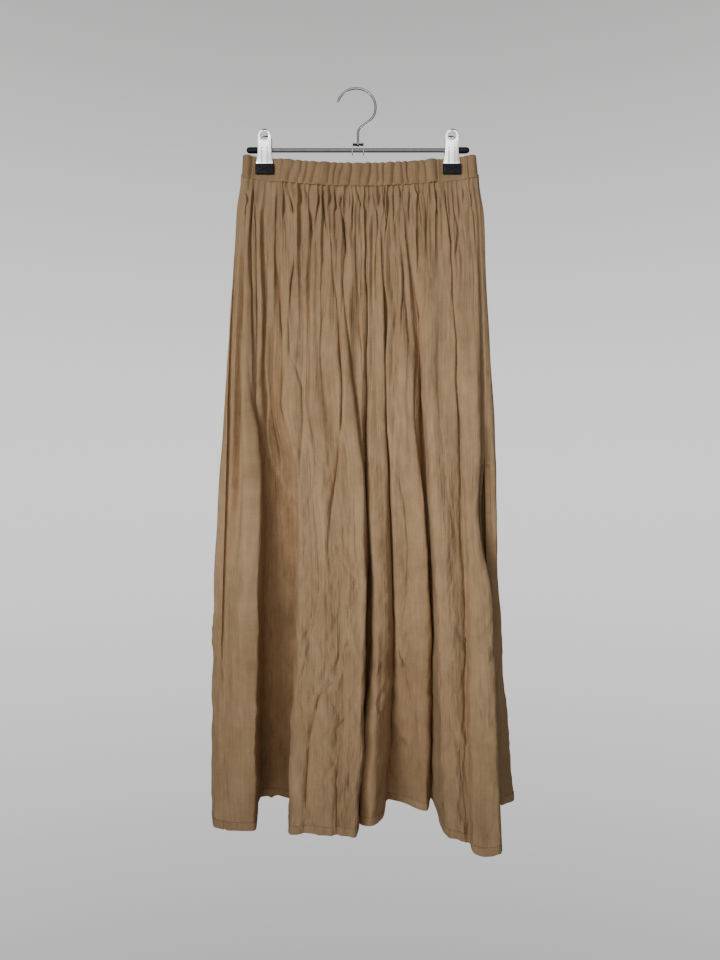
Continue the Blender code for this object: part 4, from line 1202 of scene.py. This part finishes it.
def spring_tree():
    """A coil of round wire about the X axis."""
    tree = bpy.data.node_groups.new("coil_spring", "GeometryNodeTree")
    face = tree.interface
    for label, value in (("Turns", 8.0), ("Radius", 0.0043), ("Length", 0.0132), ("Wire radius", 0.00062)):
        face.new_socket(label, in_out="INPUT", socket_type="NodeSocketFloat").default_value = value
    face.new_socket("Place", in_out="INPUT", socket_type="NodeSocketVector")
    face.new_socket("Steel", in_out="INPUT", socket_type="NodeSocketMaterial")
    face.new_socket("Geometry", in_out="OUTPUT", socket_type="NodeSocketGeometry")
    nodes, links = tree.nodes, tree.links
    given = nodes.new("NodeGroupInput")
    result = nodes.new("NodeGroupOutput")
    coil = nodes.new("GeometryNodeCurveSpiral")
    coil.inputs["Resolution"].default_value = 28
    ring = nodes.new("GeometryNodeCurvePrimitiveCircle")
    ring.inputs["Resolution"].default_value = 8
    tube = nodes.new("GeometryNodeCurveToMesh")
    tube.inputs["Fill Caps"].default_value = True
    lower = nodes.new("ShaderNodeMath")
    lower.operation = "MULTIPLY"
    lower.inputs[1].default_value = -0.5
    shift = nodes.new("ShaderNodeCombineXYZ")
    centred = nodes.new("GeometryNodeTransform")
    turned = nodes.new("GeometryNodeTransform")
    turned.inputs["Rotation"].default_value = (0.0, math.pi / 2, 0.0)
    real = nodes.new("GeometryNodeRealizeInstances")
    painted = nodes.new("GeometryNodeSetMaterial")
    links.new(given.outputs["Turns"], coil.inputs["Rotations"])
    links.new(given.outputs["Radius"], coil.inputs["Start Radius"])
    links.new(given.outputs["Radius"], coil.inputs["End Radius"])
    links.new(given.outputs["Length"], coil.inputs["Height"])
    links.new(given.outputs["Wire radius"], ring.inputs["Radius"])
    links.new(given.outputs["Length"], lower.inputs[0])
    links.new(lower.outputs[0], shift.inputs["Z"])
    links.new(coil.outputs["Curve"], tube.inputs["Curve"])
    links.new(ring.outputs["Curve"], tube.inputs["Profile Curve"])
    links.new(tube.outputs["Mesh"], centred.inputs["Geometry"])
    links.new(shift.outputs["Vector"], centred.inputs["Translation"])
    links.new(centred.outputs["Geometry"], turned.inputs["Geometry"])
    links.new(given.outputs["Place"], turned.inputs["Translation"])
    links.new(turned.outputs["Geometry"], real.inputs["Geometry"])
    links.new(real.outputs["Geometry"], painted.inputs["Geometry"])
    links.new(given.outputs["Steel"], painted.inputs["Material"])
    links.new(painted.outputs["Geometry"], result.inputs["Geometry"])
    return tree


def pressed_rib(name, x):
    """Long low rib pressed into a grip's front plate, round in section and at both ends."""
    verts, faces = [], []
    levels = np.linspace(0, 1, 21)
    for share in levels:
        z = -97.2 - 20.3 * share
        front = -(np.interp(z, (-118.2, -112.0, -104.0, -94.0), (6.0, 6.1, 6.4, 7.0)) + 0.5)
        size = math.sqrt(max(0.0, 1 - max(0.0, abs(share - 0.5) * 2 - 0.88) ** 2 / 0.12**2)) * 0.98 + 0.02
        for k in range(9):
            a = math.pi * k / 8
            side = x + RIB_HALF_WIDTH * size * math.cos(a)
            proud = front + 0.12 - RIB_HEIGHT * size * math.sin(a)
            verts.append((side / 1000, proud / 1000, z / 1000))
    for k in range(len(levels) - 1):
        for j in range(9):
            m = (j + 1) % 9
            faces.append((k * 9 + j, k * 9 + m, k * 9 + 9 + m, k * 9 + 9 + j))
    faces.append(tuple(range(9)))
    faces.append(tuple(range(len(verts) - 1, len(verts) - 10, -1)))
    return closed_piece(name, verts, faces)


def raised_bar(name, x0, z0, x1, z1, half, y, proud):
    """Straight moulded ridge between two points of a boot's face, sloping at its sides."""
    a, b = Vector((x0, z0)), Vector((x1, z1))
    way = (b - a).normalized()
    side = Vector((-way.y, way.x))
    verts = []
    for end in (a, b):
        for off, out in ((-half, -0.2), (-half * 0.45, proud), (half * 0.45, proud), (half, -0.2)):
            spot = end + side * off
            verts.append((spot.x / 1000, (y - out) / 1000, spot.y / 1000))
    faces = [(k, (k + 1) % 4, 4 + (k + 1) % 4, 4 + k) for k in range(4)] + [(0, 1, 2, 3), (7, 6, 5, 4)]
    return closed_piece(name, verts, faces, math.radians(20))


SPRING = spring_tree()
for x, side in zip(CLIP_PLACES, ("left", "right")):
    for face in ("front", "back"):
        dressed_node(f"plate_{face}_{side}", f"clip_plate_{face}_{side}", CHROME, 0.2)
        dressed_node(f"boot_{face}_{side}", f"clip_pad_{face}_{side}", RUBBER, 0.3)
    for k, way in enumerate((-1, 1)):
        place = x + way * RIB_OFFSET
        rib = pressed_rib(f"plate_rib_{side}_{k + 1}", place)
        # Painted shade: a dot of the darker bar steel where the plate has a shaded dimple.
        shade_dot = turned_piece(f"plate_dot_{side}_{k + 1}", (place, -7.35, -94.3), DOT_PROFILE, "Y", 20)
        for piece, mat in ((rib, CHROME), (shade_dot, BAR_STEEL)):
            piece.data.materials.append(mat)
            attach(piece, "root")
        ridge = raised_bar(f"boot_ridge_{side}_{k + 1}", x - RIDGE_REACH, BOOT_MIDDLE - way * RIDGE_RISE,
                           x + RIDGE_REACH, BOOT_MIDDLE + way * RIDGE_RISE, 1.1, BOOT_FACE, 0.9)
        ridge.data.materials.append(RUBBER)
        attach(ridge, "root")
    holder_name = "spring_" + side + "_holder"
    holder = bpy.data.objects.new(holder_name, bpy.data.meshes.new(holder_name))
    bpy.context.scene.collection.objects.link(holder)
    step = holder.modifiers.new("coil", "NODES")
    step.node_group = SPRING
    set_inputs(step, {"Turns": 9.0, "Radius": 0.00455, "Length": 0.0132, "Wire radius": 0.0006,
                      "Place": (x / 1000, 0.0, BAR_HEIGHT / 1000), "Steel": CHROME})
    spring = plain_copy(holder, "spring_" + side)
    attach(spring, "root")
    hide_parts("clip_spring_" + side)


# Studio: a pale floor well below the hem, a soft window light from the left, a weak light before
# the skirt and one for its far side, and an even pale surrounding that is brightest at the height
# of the skirt. The camera stands level before it.

FLOOR_REACH = 1.7
FLOOR_LEVEL = -2.6
floor_corners = [(x * FLOOR_REACH, y * FLOOR_REACH, FLOOR_LEVEL)
                 for x, y in ((-1, -1), (1, -1), (1, 1), (-1, 1))]
floor_mesh = bpy.data.meshes.new("floor")
floor_mesh.from_pydata(floor_corners, [], [(0, 1, 2, 3)])
floor = bpy.data.objects.new("floor", floor_mesh)
bpy.context.scene.collection.objects.link(floor)
floor_mat, _, _, floor_shader = new_material("pale_floor")
floor_shader.inputs["Base Color"].default_value = (0.95, 0.88, 0.77, 1)
floor_shader.inputs["Roughness"].default_value = 0.7
floor.data.materials.append(floor_mat)


def area_light(name, place, target, size, power, colour, spread):
    """A soft oblong light that looks from its place at a target, its beam so many degrees wide."""
    lamp = bpy.data.lights.new(name, "AREA")
    lamp.shape = "RECTANGLE"
    lamp.size, lamp.size_y = size
    lamp.energy = power
    lamp.color = colour
    lamp.spread = math.radians(spread)
    ob = bpy.data.objects.new(name, lamp)
    ob.location = place
    ob.rotation_euler = (Vector(target) - Vector(place)).to_track_quat("-Z", "Y").to_euler()
    bpy.context.scene.collection.objects.link(ob)
    return ob


WINDOW_SIZE = (0.95, 0.62)
WINDOW_TONE = (0.91, 0.985, 1.13)
area_light("window_light", (-1.38, -2.45, -0.47), (0.16, -0.04, -0.50), WINDOW_SIZE, 3.5, WINDOW_TONE, 37)
area_light("room_light", (-0.35, -2.4, -0.9), (-0.06, 0.0, -0.80), (0.6, 0.6), 0.85, (1.0, 0.975, 0.99), 55)
far_light = area_light("far_side_light", (1.2, 2.6, -0.45), (0.0, 0.04, -0.55), WINDOW_SIZE, 3.6,
                       WINDOW_TONE, 46)
far_light.visible_camera = False

# The surrounding as the camera sees it, as it lights the cloth, and as the plated steel mirrors it

world = bpy.data.worlds.new("surrounding")
bpy.context.scene.world = world
world.use_nodes = True
sky = world.node_tree
toward = sky.nodes.new("ShaderNodeTexCoord")
apart = sky.nodes.new("ShaderNodeSeparateXYZ")
level = sky.nodes.new("ShaderNodeMapRange")
level.inputs["From Min"].default_value = -0.9
level.inputs["From Max"].default_value = 0.9
shade = sky.nodes.new("ShaderNodeValToRGB")
shade.color_ramp.interpolation = "EASE"
shade.color_ramp.elements[0].color = (0.205, 0.205, 0.213, 1)
shade.color_ramp.elements[1].color = (0.172, 0.172, 0.168, 1)
middle = shade.color_ramp.elements.new(0.5)
middle.color = (0.63, 0.63, 0.626, 1)
seen = sky.nodes["Background"]
seen.inputs["Strength"].default_value = 1.75
lighting = sky.nodes.new("ShaderNodeBackground")
lighting.inputs["Strength"].default_value = 0.53
daylight = sky.nodes.new("ShaderNodeMix")
daylight.data_type = "RGBA"
daylight.blend_type = "MULTIPLY"
daylight.inputs["Factor"].default_value = 1.0
daylight.inputs["B"].default_value = (0.90, 0.985, 1.14, 1)
ray = sky.nodes.new("ShaderNodeLightPath")
mirrored = sky.nodes.new("ShaderNodeBackground")
bright = sky.nodes.new("ShaderNodeMapRange")
for socket, value in (("From Min", -0.55), ("From Max", -0.97), ("To Min", 0.22), ("To Max", 5.6)):
    bright.inputs[socket].default_value = value
chosen = sky.nodes.new("ShaderNodeMixShader")
polished = sky.nodes.new("ShaderNodeMixShader")
sky.links.new(toward.outputs["Generated"], apart.inputs["Vector"])
sky.links.new(apart.outputs["Z"], level.inputs["Value"])
sky.links.new(level.outputs["Result"], shade.inputs["Fac"])
sky.links.new(apart.outputs["Y"], bright.inputs["Value"])
sky.links.new(bright.outputs["Result"], mirrored.inputs["Strength"])
sky.links.new(shade.outputs["Color"], seen.inputs["Color"])
sky.links.new(shade.outputs["Color"], daylight.inputs["A"])
sky.links.new(daylight.outputs["Result"], lighting.inputs["Color"])
sky.links.new(shade.outputs["Color"], mirrored.inputs["Color"])
sky.links.new(ray.outputs["Is Glossy Ray"], polished.inputs["Fac"])
sky.links.new(ray.outputs["Is Camera Ray"], chosen.inputs["Fac"])
sky.links.new(lighting.outputs["Background"], polished.inputs[1])
sky.links.new(mirrored.outputs["Background"], polished.inputs[2])
sky.links.new(polished.outputs["Shader"], chosen.inputs[1])
sky.links.new(seen.outputs["Background"], chosen.inputs[2])
sky.links.new(chosen.outputs["Shader"], sky.nodes["World Output"].inputs["Surface"])

camera = bpy.data.objects.new("camera", bpy.data.cameras.new("camera"))
camera.location = (0.0031, -1.1236, -0.6086)
camera.rotation_euler = (math.pi / 2, 0, 0)
camera.data.lens = 27.0375
camera.data.sensor_width = 36
camera.data.clip_start = 0.01
bpy.context.scene.collection.objects.link(camera)
bpy.context.scene.camera = camera

bpy.context.view_layer.update()
